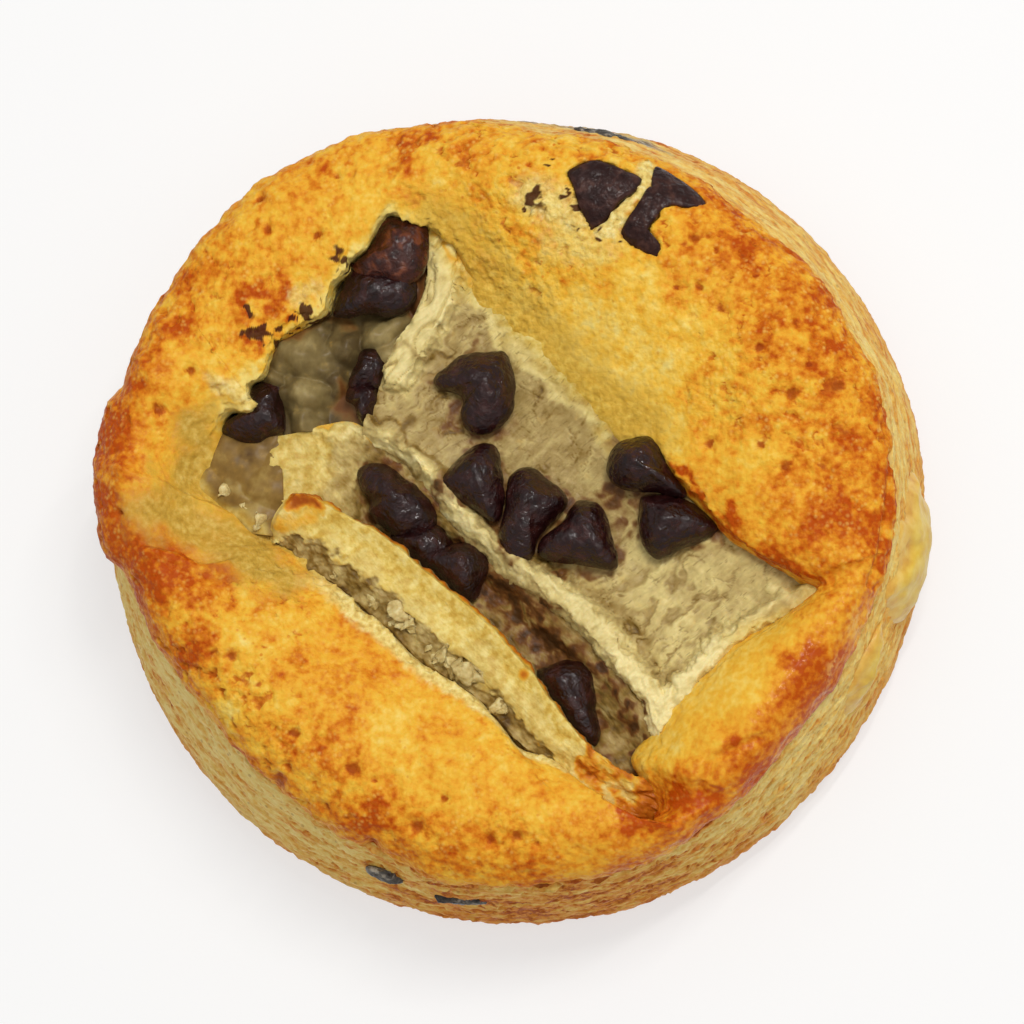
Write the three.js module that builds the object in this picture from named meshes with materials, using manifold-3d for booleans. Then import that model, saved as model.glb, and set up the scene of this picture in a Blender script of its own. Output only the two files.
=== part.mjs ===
// A small round baked tart: a browned cake body with an open well on top, in which slices of
// cooked pear lie side by side, scattered with dark chocolate chips.
// Millimetres, +Z up. The origin is the centre of the flat base. +X runs to the right and +Y to
// the back when the tart is looked down on with its pear slices running from back left to
// front right.

import * as THREE from 'three';
import { mergeVertices } from 'three/addons/utils/BufferGeometryUtils.js';
import Module from 'manifold-3d';

const wasm = await Module();
wasm.setup();

// ---------------------------------------------------------------- driving dimensions

const GAP = 0.3; // clearance kept between neighbouring pieces
const BULGE_HEIGHT = 5; // where the side wall is widest
const FOOT_INSET = 1.6; // how far the flat underside stays within the widest part
const EDGE_HEIGHT = 24.5; // where the side wall turns over into the top crust
const CREST_HEIGHT = 30.8; // highest part of the crust ring
const FLOOR_HEIGHT = 17; // bottom of the well, below the pear
const LIP = 1.2; // how far the overflowed rim stands out at the left
const FACE_HEIGHT = 22.8; // top face of the broad pear slice
const RIM_HEIGHT = 25.4; // curled rims of that slice

const SEGMENTS = 72; // steps round the cake

// The widest part of the side wall and the outer edge of the crust above it, both as
// [azimuth in degrees, radius].
const BULGE = [
  [0, 49.3],
  [45, 48.1],
  [80, 47.3],
  [110, 47.6],
  [150, 48.4],
  [195, 48.7],
  [235, 48.7],
  [270, 49.2],
  [300, 49.7],
  [330, 49.4],
];
const CRUST_EDGE = [
  [-8, 47.0],
  [12, 46.6],
  [28, 45.0],
  [50, 43.5],
  [80, 43.4],
  [100, 45.0],
  [125, 46.2],
  [150, 46.0],
  [175, 46.0],
  [200, 43.2],
  [217, 41.9],
  [235, 42.8],
  [250, 43.8],
  [265, 46.0],
  [292, 47.2],
  [320, 45.8],
  [340, 46.4],
];

// The rim of the well, counter-clockwise as [x, y, height].
const WELL = [
  [38.2, -11.9, 26.6],
  [31.6, -8.2, 27.0],
  [25.9, -2.8, 26.8],
  [20.7, 1.9, 26.4],
  [13.0, 11.6, 25.0],
  [3.6, 21.9, 24.8],
  [-2.2, 26.4, 25.4],
  [-8.0, 30.8, 27.2],
  [-12.6, 29.6, 28.2],
  [-15.9, 26.5, 28.4],
  [-18.6, 20.6, 28.4],
  [-24.6, 17.2, 28.2],
  [-28.4, 12.8, 28.0],
  [-32.6, 8.0, 26.6],
  [-35.4, 2.2, 24.4],
  [-31.4, -0.6, 23.0],
  [-27.6, -5.4, 23.0],
  [-16.5, -13.5, 24.6],
  [-4.7, -23.6, 25.4],
  [6.4, -31.9, 25.6],
  [16.6, -37.8, 25.8],
  [19.6, -32.0, 25.4],
  [26.7, -20.0, 26.0],
];

// ---------------------------------------------------------------- small helpers

const radians = THREE.MathUtils.degToRad;
const mix = THREE.MathUtils.lerp;
const smooth = THREE.MathUtils.smoothstep;

// A hump of height 1 that falls to 0 at `width` from its middle.
function hump(distance, width) {
  return 1 - smooth(Math.abs(distance), 0, width);
}

// The signed difference of two azimuths, in degrees.
function turnBetween(a, b) {
  return ((((a - b) % 360) + 540) % 360) - 180;
}

// A three.js geometry as a manifold solid, with its shared vertices merged.
function solid(geometry) {
  const bare = geometry.clone();
  bare.deleteAttribute('normal');
  bare.deleteAttribute('uv');
  const merged = mergeVertices(bare, 1e-4);
  const corners = merged.index.array;
  const faces = [];
  for (let i = 0; i < corners.length; i += 3) {
    const [a, b, c] = [corners[i], corners[i + 1], corners[i + 2]];
    if (a !== b && b !== c && c !== a) faces.push(a, b, c);
  }
  return new wasm.Manifold(new wasm.Mesh({
    numProp: 3,
    vertProperties: new Float32Array(merged.attributes.position.array),
    triVerts: new Uint32Array(faces),
  }));
}

// The same shape pushed outward along its vertex normals, used to cut a fitting hollow.
function swollen(geometry, amount) {
  const bare = geometry.clone();
  bare.deleteAttribute('normal');
  bare.deleteAttribute('uv');
  const merged = mergeVertices(bare, 1e-4);
  merged.computeVertexNormals();
  const place = merged.attributes.position;
  const normal = merged.attributes.normal;
  for (let i = 0; i < place.count; i += 1) {
    place.setXYZ(
      i,
      place.getX(i) + amount * normal.getX(i),
      place.getY(i) + amount * normal.getY(i),
      place.getZ(i) + amount * normal.getZ(i),
    );
  }
  return solid(merged);
}

// Keeps the biggest body of a solid, so that no loose shaving is left after a cut.
function biggest(shape) {
  const bodies = shape.decompose();
  bodies.sort((a, b) => b.volume() - a.volume());
  return bodies[0];
}

function geometryOf(shape) {
  const mesh = shape.getMesh();
  const geometry = new THREE.BufferGeometry();
  geometry.setAttribute('position', new THREE.BufferAttribute(mesh.vertProperties, 3));
  geometry.setIndex(new THREE.BufferAttribute(mesh.triVerts, 1));
  geometry.computeVertexNormals();
  return geometry;
}

// ---------------------------------------------------------------- the cake

const wellCurve = new THREE.CatmullRomCurve3(
  WELL.map(([x, y, z]) => new THREE.Vector3(x, y, z)),
  true,
  'catmullrom',
);

// Radius at an azimuth of an outline listed as [azimuth, radius], eased between its entries.
function outline(entries, azimuth) {
  for (let i = 0; i < entries.length; i += 1) {
    const [from, radius] = entries[i];
    const [to, next] = entries[(i + 1) % entries.length];
    const span = (to - from + 360) % 360;
    const along = (((azimuth - from) % 360) + 360) % 360;
    if (along <= span) return mix(radius, next, smooth(along, 0, span));
  }
  return entries[0][1];
}

// The rim overflowed the tin at the left and ends in a sharp step at its lower end.
function lip(azimuth) {
  const along = turnBetween(azimuth, 178);
  return LIP * smooth(along, -15, -11) * (1 - smooth(along, 11, 14));
}

// Columns round the cake pair a point of the well's rim with an azimuth of the outer edge. They
// are spaced by the mean of the rim's length and the angle, so that neither gets sparse.
function columns(count) {
  const fine = wellCurve.getPoints(1440);
  const centre = new THREE.Vector3(-6, -3.5, 0);
  const azimuths = fine.map((p) => THREE.MathUtils.radToDeg(Math.atan2(p.y - centre.y, p.x - centre.x)));
  const weight = [0];
  let length = 0;
  for (let i = 1; i < fine.length; i += 1) length += fine[i].distanceTo(fine[i - 1]);
  for (let i = 1; i < fine.length; i += 1) {
    const run = fine[i].distanceTo(fine[i - 1]) / length;
    const turn = Math.max(turnBetween(azimuths[i], azimuths[i - 1]), 0) / 360;
    weight.push(weight[i - 1] + (run + turn) / 2);
  }
  const total = weight[weight.length - 1];
  const out = [];
  let at = 0;
  for (let column = 0; column < count; column += 1) {
    while (weight[at] / total < column / count) at += 1;
    out.push({ rim: fine[at], azimuth: azimuths[at] });
  }
  return out;
}

// Dents and swellings of the crust, as [x, y, reach, height].
const CRUST_FEATURES = [
  [-33, -4, 10, -3.2], // torn, sunken crumb at the left end of the slit
  [-40, -10, 5, 0.8], // fold beside it
  [28, -36, 6, -1.0], // crease at the front right
  [34, -28, 6, 0.6],
  [0, 38, 8, 0.5],
  [-20, -28, 9, 0.5],
  [34, 14, 10, 0.6],
];

function crustRelief(x, y) {
  let z = 0;
  for (const [fx, fy, reach, height] of CRUST_FEATURES) {
    z += height * hump(Math.hypot(x - fx, y - fy), reach);
  }
  return z;
}

// Where each ring of the cake lies: `kind` picks the zone, `s` the place within it.
const RINGS = [
  { kind: 'axis', z: 0 },
  { kind: 'base', s: 0.5 },
  { kind: 'base', s: 1 },
  { kind: 'wall', s: 0 },
  { kind: 'wall', s: 0.25 },
  { kind: 'wall', s: 0.5 },
  { kind: 'wall', s: 0.75 },
  { kind: 'wall', s: 0.9 },
  { kind: 'crust', s: 0 },
  { kind: 'crust', s: 0.06 },
  { kind: 'crust', s: 0.15 },
  { kind: 'crust', s: 0.28 },
  { kind: 'crust', s: 0.45 },
  { kind: 'crust', s: 0.62 },
  { kind: 'crust', s: 0.8 },
  { kind: 'crust', s: 0.93 },
  { kind: 'crust', s: 1 },
  { kind: 'drop', s: 0.5 },
  { kind: 'drop', s: 1 },
  { kind: 'floor', s: 0.5 },
  { kind: 'axis', z: FLOOR_HEIGHT },
];

function cakePoint(ring, column) {
  const { rim, azimuth } = column;
  const angle = radians(azimuth);
  const bulge = outline(BULGE, azimuth);
  const edge = outline(CRUST_EDGE, azimuth);
  const s = ring.s;
  if (ring.kind === 'axis') return [-6, -3.5, ring.z];
  if (ring.kind === 'base') {
    const radius = (bulge - FOOT_INSET) * s;
    return [radius * Math.cos(angle), radius * Math.sin(angle), 0];
  }
  if (ring.kind === 'wall') {
    const radius = mix(bulge, edge, s ** 1.4);
    return [radius * Math.cos(angle), radius * Math.sin(angle), mix(BULGE_HEIGHT, EDGE_HEIGHT, s)];
  }
  if (ring.kind === 'crust') {
    const reach = edge + lip(azimuth) * (1 - smooth(s, 0, 0.15));
    const x = mix(reach * Math.cos(angle), rim.x, s);
    const y = mix(reach * Math.sin(angle), rim.y, s);
    const width = Math.hypot(edge * Math.cos(angle) - rim.x, edge * Math.sin(angle) - rim.y);
    const side = mix(EDGE_HEIGHT, rim.z, smooth(s, 0, 1));
    const rise = Math.min(CREST_HEIGHT - Math.max(EDGE_HEIGHT, rim.z), 0.42 * width);
    const z = side + rise * Math.sin(Math.PI * s ** 0.62) ** 0.9 + crustRelief(x, y) * hump(s - 0.5, 0.5);
    return [x, y, z];
  }
  if (ring.kind === 'drop') {
    const inward = 1 - 0.05 * s;
    return [
      mix(-6, rim.x, inward),
      mix(-3.5, rim.y, inward),
      mix(rim.z, FLOOR_HEIGHT, s),
    ];
  }
  return [mix(-6, rim.x, 0.95 * s), mix(-3.5, rim.y, 0.95 * s), FLOOR_HEIGHT];
}

function cakeGeometry() {
  const profile = RINGS.map((ring, j) => new THREE.Vector2(ring.kind === 'axis' ? 0 : 1, j));
  const geometry = new THREE.LatheGeometry(profile, SEGMENTS);
  const round = columns(SEGMENTS);
  const place = geometry.attributes.position;
  for (let i = 0; i < place.count; i += 1) {
    const column = round[Math.floor(i / RINGS.length) % SEGMENTS];
    place.setXYZ(i, ...cakePoint(RINGS[i % RINGS.length], column));
  }
  return geometry;
}

// ---------------------------------------------------------------- the pear slices

// A slab whose plan lies between two curves, the back one and the front one, each given by a few
// points from its left end to its right end. `top` gives the height over the slab, where u runs
// along it from left to right and v across it from back to front.
function slab({ back, front, steps, top }) {
  const [backCurve, frontCurve] = [back, front].map(
    (side) => new THREE.SplineCurve(side.map(([x, y]) => new THREE.Vector2(x, y))),
  );
  const geometry = new THREE.BoxGeometry(1, 1, 1, steps[0], steps[1], 1);
  const place = geometry.attributes.position;
  for (let i = 0; i < place.count; i += 1) {
    const u = place.getX(i) + 0.5;
    const v = 0.5 - place.getY(i);
    const { x, y } = backCurve.getPoint(u).lerp(frontCurve.getPoint(u), v);
    place.setXYZ(i, x, y, place.getZ(i) > 0 ? top(u, v) : FLOOR_HEIGHT + 0.5);
  }
  return geometry;
}

const SLICES = {
  // The broad slice: a dished face with curled rims at its left end, front side and right end.
  pear_slice_broad: slab({
    back: [[-4.2, 30.6], [17.6, 8.6], [40.4, -10.6]],
    front: [[-15.2, 6.2], [-4.4, -3.8], [4.7, -13.8], [13.6, -21.8], [18.8, -31.2]],
    steps: [12, 6],
    top: (u, v) => {
      const rim = Math.max(hump(u, 0.12), hump(v - 1, 0.2), hump(u - 1, 0.14));
      return FACE_HEIGHT + (RIM_HEIGHT - FACE_HEIGHT) * rim * smooth(v, 0, 0.25);
    },
  }),
  // The slice that stands on edge, with browned batter on its upper edge.
  pear_slice_upright: slab({
    back: [[-24.0, -0.2], [-9.4, -7.2], [0.8, -15.0], [8.2, -25.8], [15.4, -33.9], [21.6, -36.8]],
    front: [[-26.8, -3.8], [-17.0, -11.2], [-4.6, -21.4], [5.6, -30.0], [13.2, -35.8], [17.4, -38.4]],
    steps: [12, 3],
    top: (u, v) => 26.4 - 3.4 * v * hump(u - 0.45, 0.6) - 0.8 * smooth(u, 0.8, 1),
  }),
  // The narrow slice in the trough between the broad one and the upright one.
  pear_slice_sunken: slab({
    back: [[-26.6, 7.2], [-14.6, 6.8], [-2.0, -6.6], [6.0, -14.0], [19.6, -31.0]],
    front: [[-26.4, -2.2], [-15.0, -5.6], [-3.0, -14.0], [5.0, -25.0], [15.6, -35.0]],
    steps: [12, 3],
    top: (u, v) => mix(25.2, 20.6, smooth(u, 0.14, 0.32)) + 1.2 * smooth(u, 0.8, 1) * v,
  }),
  // Flesh showing low in the hollow at the back left.
  pear_slice_back: slab({
    back: [[-25.6, 19.0], [-10.6, 24.0]],
    front: [[-26.4, 8.2], [-13.6, 8.6]],
    steps: [3, 3],
    top: (u, v) => 20.4 + 1.2 * u + 0.6 * v,
  }),
  // Flesh showing low in the hollow at the far left.
  pear_slice_left: slab({
    back: [[-34.0, 7.4], [-27.2, 7.4]],
    front: [[-34.6, 1.6], [-27.4, -1.4]],
    steps: [3, 3],
    top: (u, v) => 21.2 + 0.8 * u - 0.4 * v,
  }),
};

// Pear pressed against the tin, showing as smooth lenses in the side wall:
// [name, x, y, z, azimuth of the outward normal, half depth, half length, half height].
const SIDE_SLICES = [
  ['pear_slice_side', 44.2, -8.0, 13.4, -10, 6.2, 12.0, 8.4],
  ['pear_slice_side_front', 41.6, -20.0, 15.0, -26, 4.6, 8.4, 6.8],
];

function lens([, x, y, z, azimuth, depth, length, height]) {
  const geometry = new THREE.SphereGeometry(1, 14, 8);
  geometry.scale(depth, length, height);
  geometry.rotateZ(radians(azimuth));
  geometry.translate(x, y, z);
  return geometry;
}

for (const side of SIDE_SLICES) SLICES[side[0]] = lens(side);

// ---------------------------------------------------------------- the chocolate chips

// Each chip is a drop with a round back and a pointed tip:
// [x, y, height of its middle, azimuth of the tip, rise of the tip, length, width, thickness].
const CHIPS = [
  [-1.8, 11.6, 24.8, 166, 8, 10.6, 9.2, 5.6], // the biggest, on the broad slice
  [-1.8, 1.0, 24.6, 78, 14, 9.4, 7.6, 5.4],
  [5.0, -3.4, 24.8, 68, 10, 11.0, 6.2, 5.6],
  [10.6, -6.6, 24.6, -48, 12, 9.6, 7.4, 5.4],
  [18.2, 2.4, 25.0, -38, 4, 10.4, 7.2, 5.8],
  [22.0, -5.0, 24.8, -2, 6, 9.2, 7.0, 5.6],
  [-11.6, -0.4, 22.6, -28, 0, 10.6, 6.2, 4.8], // in the trough
  [-3.8, -9.0, 22.2, -52, 0, 8.2, 5.4, 4.8],
  [-8.4, -5.6, 21.6, -35, 0, 5.0, 3.6, 3.6],
  [9.2, -24.6, 22.6, -62, -6, 10.4, 5.4, 5.0],
  [-14.2, 15.0, 23.2, 70, 0, 6.0, 4.4, 3.6], // melted pair at the left end of the broad slice
  [-15.6, 10.4, 23.2, 84, 0, 4.6, 3.2, 3.0],
  [-27.6, 10.0, 22.6, 34, 0, 9.0, 5.6, 4.4], // under the crust at the far left
  [-14.6, 22.6, 24.4, 8, 8, 10.4, 6.2, 5.6], // two large ones in the back pocket
  [-10.8, 27.8, 25.2, 60, 10, 8.6, 7.0, 5.2],
  [13.2, 34.4, 28.6, 210, 0, 8.6, 7.6, 5.0], // three sunk in the crust at the back right
  [22.4, 34.0, 27.6, 20, -10, 6.6, 4.8, 4.4],
  [18.4, 29.8, 28.8, 65, 0, 7.6, 4.6, 4.2],
  [-13.4, -43.2, 17.6, 197, 0, 5.4, 3.4, 4.0], // flat against the side wall
  [-5.0, -46.6, 13.8, 186, 0, 5.4, 3.4, 3.6],
  [13.2, 42.4, 17.0, 164, 0, 8.4, 4.2, 4.6],
];
const TAPER = 0.45; // how sharply a chip narrows to its tip
const CHIP_RINGS = 6;
const CHIP_SEGMENTS = 9;

function chipGeometry([x, y, z, azimuth, rise, length, width, thickness]) {
  const profile = [];
  for (let ring = 0; ring <= CHIP_RINGS; ring += 1) {
    const turn = (Math.PI * ring) / CHIP_RINGS;
    const radius = ring % CHIP_RINGS ? Math.sin(turn) * Math.cos(turn / 2) ** TAPER : 0;
    profile.push(new THREE.Vector2(radius, -Math.cos(turn) / 2));
  }
  const widest = Math.max(...profile.map((p) => p.x));
  const geometry = new THREE.LatheGeometry(profile, CHIP_SEGMENTS);
  geometry.rotateZ(-Math.PI / 2);
  geometry.scale(length, width / 2 / widest, thickness / 2 / widest);
  geometry.rotateY(-radians(rise));
  geometry.rotateZ(radians(azimuth));
  geometry.translate(x, y, z);
  return geometry;
}

// ---------------------------------------------------------------- assembly

const looks = {
  crust: new THREE.MeshStandardMaterial({ color: 0xdc9c3c, roughness: 0.6, metalness: 0 }),
  pear: new THREE.MeshStandardMaterial({ color: 0xb8a468, roughness: 0.5, metalness: 0 }),
  chocolate: new THREE.MeshStandardMaterial({ color: 0x392a2b, roughness: 0.3, metalness: 0 }),
};

const tart = new THREE.Group();
const hollows = []; // swollen copies of the finished pieces, which the next ones are cut by

function addPiece(name, geometry, look) {
  const reach = new THREE.Box3().setFromBufferAttribute(geometry.attributes.position);
  let shape = solid(geometry);
  for (const { box, hollow } of hollows) {
    if (box.intersectsBox(reach)) shape = shape.subtract(hollow);
  }
  const mesh = new THREE.Mesh(geometryOf(biggest(shape)), look);
  mesh.name = name;
  tart.add(mesh);
  hollows.push({ box: reach.clone().expandByScalar(GAP), hollow: swollen(geometry, GAP) });
}

CHIPS.forEach((chip, i) => {
  addPiece(`chocolate_chip_${String(i + 1).padStart(2, '0')}`, chipGeometry(chip), looks.chocolate);
});
for (const [name, geometry] of Object.entries(SLICES)) addPiece(name, geometry, looks.pear);
addPiece('cake', cakeGeometry(), looks.crust);

export default tart;
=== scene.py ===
import math

import bmesh
import bpy
import numpy as np
from mathutils import Matrix, Vector, noise


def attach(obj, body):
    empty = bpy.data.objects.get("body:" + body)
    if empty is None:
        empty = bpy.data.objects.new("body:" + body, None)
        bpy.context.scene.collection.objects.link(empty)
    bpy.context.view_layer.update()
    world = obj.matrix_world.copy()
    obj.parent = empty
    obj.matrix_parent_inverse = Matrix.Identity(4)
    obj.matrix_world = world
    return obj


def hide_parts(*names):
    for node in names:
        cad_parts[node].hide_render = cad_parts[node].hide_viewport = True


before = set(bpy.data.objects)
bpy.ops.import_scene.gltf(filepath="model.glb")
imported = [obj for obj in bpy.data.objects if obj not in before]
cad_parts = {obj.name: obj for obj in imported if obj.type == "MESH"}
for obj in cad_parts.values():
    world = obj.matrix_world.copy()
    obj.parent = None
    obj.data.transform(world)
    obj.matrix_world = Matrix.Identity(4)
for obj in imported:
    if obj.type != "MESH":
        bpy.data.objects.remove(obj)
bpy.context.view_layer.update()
scene = bpy.context.scene
scene.view_settings.view_transform = "Standard"

# ---------------------------------------------------------------- the studio
# A white table that glows a little, under one wide soft lamp and two narrow ones that give the
# chocolate its glints. The camera hangs over the tart and leans a little to its front right.
MM = 0.001
CAMERA_DISTANCE = 640.0
CAMERA_TILT = math.radians(11.3)
CAMERA_SIDE = math.radians(-45)
CAMERA_LENS = 185.95
CAMERA_TARGET = Vector((-0.97, 0.6, 0.0))
TABLE_SIZE = 3000.0
TABLE_WHITE = (0.34, 0.34, 0.34, 1)
TABLE_GREY = (0.3349, 0.3349, 0.3349, 1)
TABLE_GLOW = 0.6
SKY_WHITE = (0.98, 0.98, 0.98, 1)
SKY_STRENGTH = 0.4
OVERHEAD_POWER = 4.4
STRIP_POWER = 2.3


def node(tree, kind, inputs=None, **settings):
    """Adds a shader node; an input is a number, a colour or the socket that feeds it."""
    made = tree.nodes.new(kind)
    for key, value in settings.items():
        setattr(made, key, value)
    for key, value in (inputs or {}).items():
        if isinstance(value, bpy.types.NodeSocket):
            tree.links.new(value, made.inputs[key])
        else:
            made.inputs[key].default_value = value
    return made


def new_material(name):
    """A new material, its node tree, its shader and the place that its patterns read."""
    material = bpy.data.materials.new(name)
    material.use_nodes = True
    tree = material.node_tree
    shader = tree.nodes["Principled BSDF"]
    where = node(tree, "ShaderNodeTexCoord").outputs["Object"]
    return material, tree, shader, where


def link_object(name, data):
    made = bpy.data.objects.new(name, data)
    scene.collection.objects.link(made)
    return made


view = Vector((
    math.sin(CAMERA_TILT) * math.cos(CAMERA_SIDE),
    math.sin(CAMERA_TILT) * math.sin(CAMERA_SIDE),
    math.cos(CAMERA_TILT),
))
right = Vector((0, 1, 0)).cross(view).normalized()
up = view.cross(right)
camera = link_object("camera", bpy.data.cameras.new("camera"))
camera.data.lens = CAMERA_LENS
camera.data.sensor_width = 36
camera.data.clip_start = 0.01
camera.matrix_world = Matrix.Translation((CAMERA_TARGET + view * CAMERA_DISTANCE) * MM) @ (
    Matrix((right, up, view)).transposed().to_4x4()
)
scene.camera = camera


def soft_light(name, place, width, depth, power, tint):
    """A rectangular lamp that shines at the tart. Its place and its sizes are in metres."""
    lamp = bpy.data.lights.new(name, "AREA")
    lamp.shape = "RECTANGLE"
    lamp.size = width
    lamp.size_y = depth
    lamp.energy = power
    lamp.color = tint
    made = link_object(name, lamp)
    made.location = place
    made.rotation_euler = (-Vector(place)).to_track_quat("-Z", "Y").to_euler()


soft_light("overhead", (0.15, 0.1, 1.1), 1.6, 1.6, OVERHEAD_POWER, (1.0, 0.975, 0.94))
for name, x in (("strip_left", 0.18), ("strip_right", 0.34)):
    soft_light(name, (x, 0.28, 0.9), 0.014, 0.3, STRIP_POWER, (1.0, 0.98, 0.95))
world = bpy.data.worlds.new("studio")
world.use_nodes = True
sky = world.node_tree.nodes["Background"]
sky.inputs["Color"].default_value = SKY_WHITE
sky.inputs["Strength"].default_value = SKY_STRENGTH
scene.world = world

table_mesh = bmesh.new()
bmesh.ops.create_grid(table_mesh, x_segments=1, y_segments=1, size=TABLE_SIZE * MM / 2)
table = link_object("table", bpy.data.meshes.new("table"))
table_mesh.to_mesh(table.data)
table_mesh.free()
table_white, tree, shader, where = new_material("table_white")
mottle = node(tree, "ShaderNodeTexNoise", {"Vector": where, "Scale": 30.0, "Detail": 2.0})
tone = node(tree, "ShaderNodeMix", {
    "Factor": mottle.outputs["Fac"],
    "A": TABLE_WHITE,
    "B": TABLE_GREY,
}, data_type="RGBA")
tree.links.new(tone.outputs["Result"], shader.inputs["Base Color"])
shader.inputs["Roughness"].default_value = 0.6
shader.inputs["Specular IOR Level"].default_value = 0.2
shader.inputs["Emission Color"].default_value = (1, 1, 1, 1)
shader.inputs["Emission Strength"].default_value = TABLE_GLOW
table.data.materials.append(table_white)

# ---------------------------------------------------------------- the browned crust
# The top of the cake: a domed ring of golden, buttery crumb that rose over the tin's edge in the
# oven. It is blistered and pitted, browner where it stood high, and torn open round the well.
EDGE_HEIGHT = 24.5
CREST_HEIGHT = 30.8
CRUST_COLUMNS = 900
CRUST_RINGS = 108
CRUST_DEPTH = 6.0  # how far the crust's inner side goes down into the well
OVERHANG = 0.25
LIP = 1.2  # how far the overflowed rim stands out at the left
LIP_AZIMUTH = 178
WELL_CENTRE = np.array([-6.0, -3.5])
CRUST_EDGE = [  # azimuth, radius
    (-8, 47.0), (12, 46.6), (28, 45.0), (50, 43.5), (66, 42.7), (82, 42.4), (98, 43.6),
    (112, 45.2), (125, 45.8), (138, 45.8), (150, 45.4), (163, 45.4), (178, 46.0), (200, 43.2),
    (217, 41.9), (235, 42.8), (250, 43.8), (265, 46.0), (292, 47.2), (320, 45.8), (340, 46.4),
]
WELL_RIM = [  # x, y, height, counter-clockwise
    (38.6, -12.6, 26.6), (36.2, -11.2, 26.8), (32.0, -8.6, 27.0), (28.2, -5.8, 27.0),
    (25.4, -3.0, 26.8), (23.0, -0.4, 26.6), (21.4, 1.8, 26.4), (19.4, 5.2, 25.8),
    (16.6, 8.2, 25.2), (11.6, 13.4, 25.0), (5.6, 19.6, 24.8), (1.0, 23.2, 24.8),
    (-1.6, 25.4, 25.2), (-3.6, 28.0, 26.0), (-6.0, 30.2, 26.8), (-8.6, 31.6, 27.4),
    (-10.6, 32.2, 27.8), (-12.0, 32.3, 28.0), (-13.6, 29.6, 28.2), (-14.4, 28.2, 28.3),
    (-16.3, 26.8, 28.2), (-16.6, 25.6, 28.2), (-18.2, 24.2, 28.0), (-18.9, 22.2, 27.8),
    (-19.4, 20.9, 27.6), (-22.0, 19.6, 27.4), (-24.6, 17.8, 27.4), (-25.9, 15.6, 27.4),
    (-26.6, 13.7, 27.4), (-28.4, 12.6, 27.4), (-28.5, 11.3, 27.2), (-27.6, 10.2, 27.0),
    (-28.6, 9.3, 26.8), (-30.6, 9.6, 26.4), (-32.4, 8.2, 25.8), (-33.8, 6.2, 25.0),
    (-34.8, 3.6, 24.4), (-35.0, 1.2, 24.0), (-33.4, -0.8, 23.6), (-31.2, -1.8, 23.2),
    (-29.4, -3.2, 23.0), (-26.6, -5.6, 23.0), (-24.2, -6.8, 23.4), (-22.4, -8.4, 23.8),
    (-19.8, -10.4, 24.2), (-17.4, -11.6, 24.4), (-15.2, -13.9, 24.6), (-12.8, -15.8, 24.8),
    (-9.6, -19.2, 25.2), (-7.0, -21.2, 25.3), (-2.4, -24.2, 25.4), (0.6, -27.0, 25.5),
    (3.2, -30.2, 25.6), (6.0, -31.4, 25.6), (8.4, -32.6, 25.7), (10.6, -34.6, 25.8),
    (13.2, -36.6, 25.8), (16.6, -38.8, 25.6), (20.4, -37.6, 25.8), (18.4, -34.0, 25.4),
    (17.6, -32.2, 25.2), (19.4, -29.8, 25.2), (21.6, -26.8, 25.4), (25.0, -23.4, 25.8),
    (29.4, -19.0, 26.0), (34.0, -16.0, 26.2),
]
CRUST_SWELLS = [  # x, y, reach, height
    (-34, -4, 10, -2.6), (-40, -10, 5, 0.8), (28, -36, 6, -1.0), (34, -28, 6, 0.6),
    (0, 38, 8, 0.5), (-20, -28, 9, 0.5), (34, 14, 10, 0.6),
]
# How brown the crust is at places on it: x, y, browning from 0, pale, to 1, dark.
BROWNING = [
    (-11, 40, 0.60), (-5, 41, 0.54), (-1, 38, 0.48), (-12, 33, 0.42), (-17, 32, 0.28),
    (-7, 34, 0.42), (1, 33, 0.40), (4, 38, 0.42), (7, 33, 0.34), (9, 28, 0.30), (2, 26, 0.32),
    (13, 26, 0.36), (8, 20, 0.20), (17, 20, 0.18), (24, 22, 0.52), (30, 26, 0.74), (32, 21, 0.72),
    (37, 17, 0.74), (19, 16, 0.16), (25, 15, 0.36), (30, 12, 0.50), (36, 11, 0.60),
    (40, 11, 0.66), (19, 10, 0.24), (25, 7, 0.46), (32, 5, 0.50), (39, 4, 0.58), (44, 3, 0.74),
    (29, -2, 0.52), (36, -3, 0.70), (34, -7, 0.76), (41, -7, 0.76), (39, -11, 0.82),
    (43, -13, 0.66), (36, -15, 0.44), (33, -20, 0.24), (29, -24, 0.28), (36, -22, 0.90),
    (38, -24, 0.95), (32, -30, 0.84), (26, -31, 0.52), (20, -30, 0.22), (22, -36, 0.70),
    (20, -39, 0.78), (24, -40, 0.80), (18, -40, 0.66), (9, -43, 0.68), (0, -41, 0.66),
    (13, -35, 0.46), (4, -36, 0.46), (-4, -29, 0.56), (0, -27, 0.42), (4, -31, 0.42),
    (-10, -30, 0.32), (-7, -36, 0.46), (-14, -34, 0.66), (-18, -30, 0.62), (-21, -25, 0.60),
    (-14, -20, 0.62), (-21, -18, 0.56), (-27, -18, 0.30), (-30, -23, 0.32), (-24, -13, 0.50),
    (-33, -13, 0.76), (-39, -11, 0.88), (-36, -20, 0.72), (-32, -25, 0.52), (-30, -31, 0.70),
    (-25, -35, 0.62), (-18, -38, 0.62), (-12, -40, 0.72), (-43, -4, 0.92), (-44, 7, 0.90),
    (-41, 10, 0.72), (-38, 6, 0.56), (-37, 1, 0.44), (-39, -5, 0.72), (-35, 6, 0.38),
    (-30, 12, 0.26), (-31, 15, 0.34), (-35, 14, 0.52), (-38, 14, 0.68), (-34, 20, 0.66),
    (-29, 19, 0.50), (-30, 24, 0.62), (-25, 27, 0.58), (-27, 22, 0.62), (-23, 26, 0.44),
    (-21, 29, 0.48), (-23, 32, 0.58), (-19, 36, 0.58),
]
BROWNING_REACH = 2.9
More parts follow.
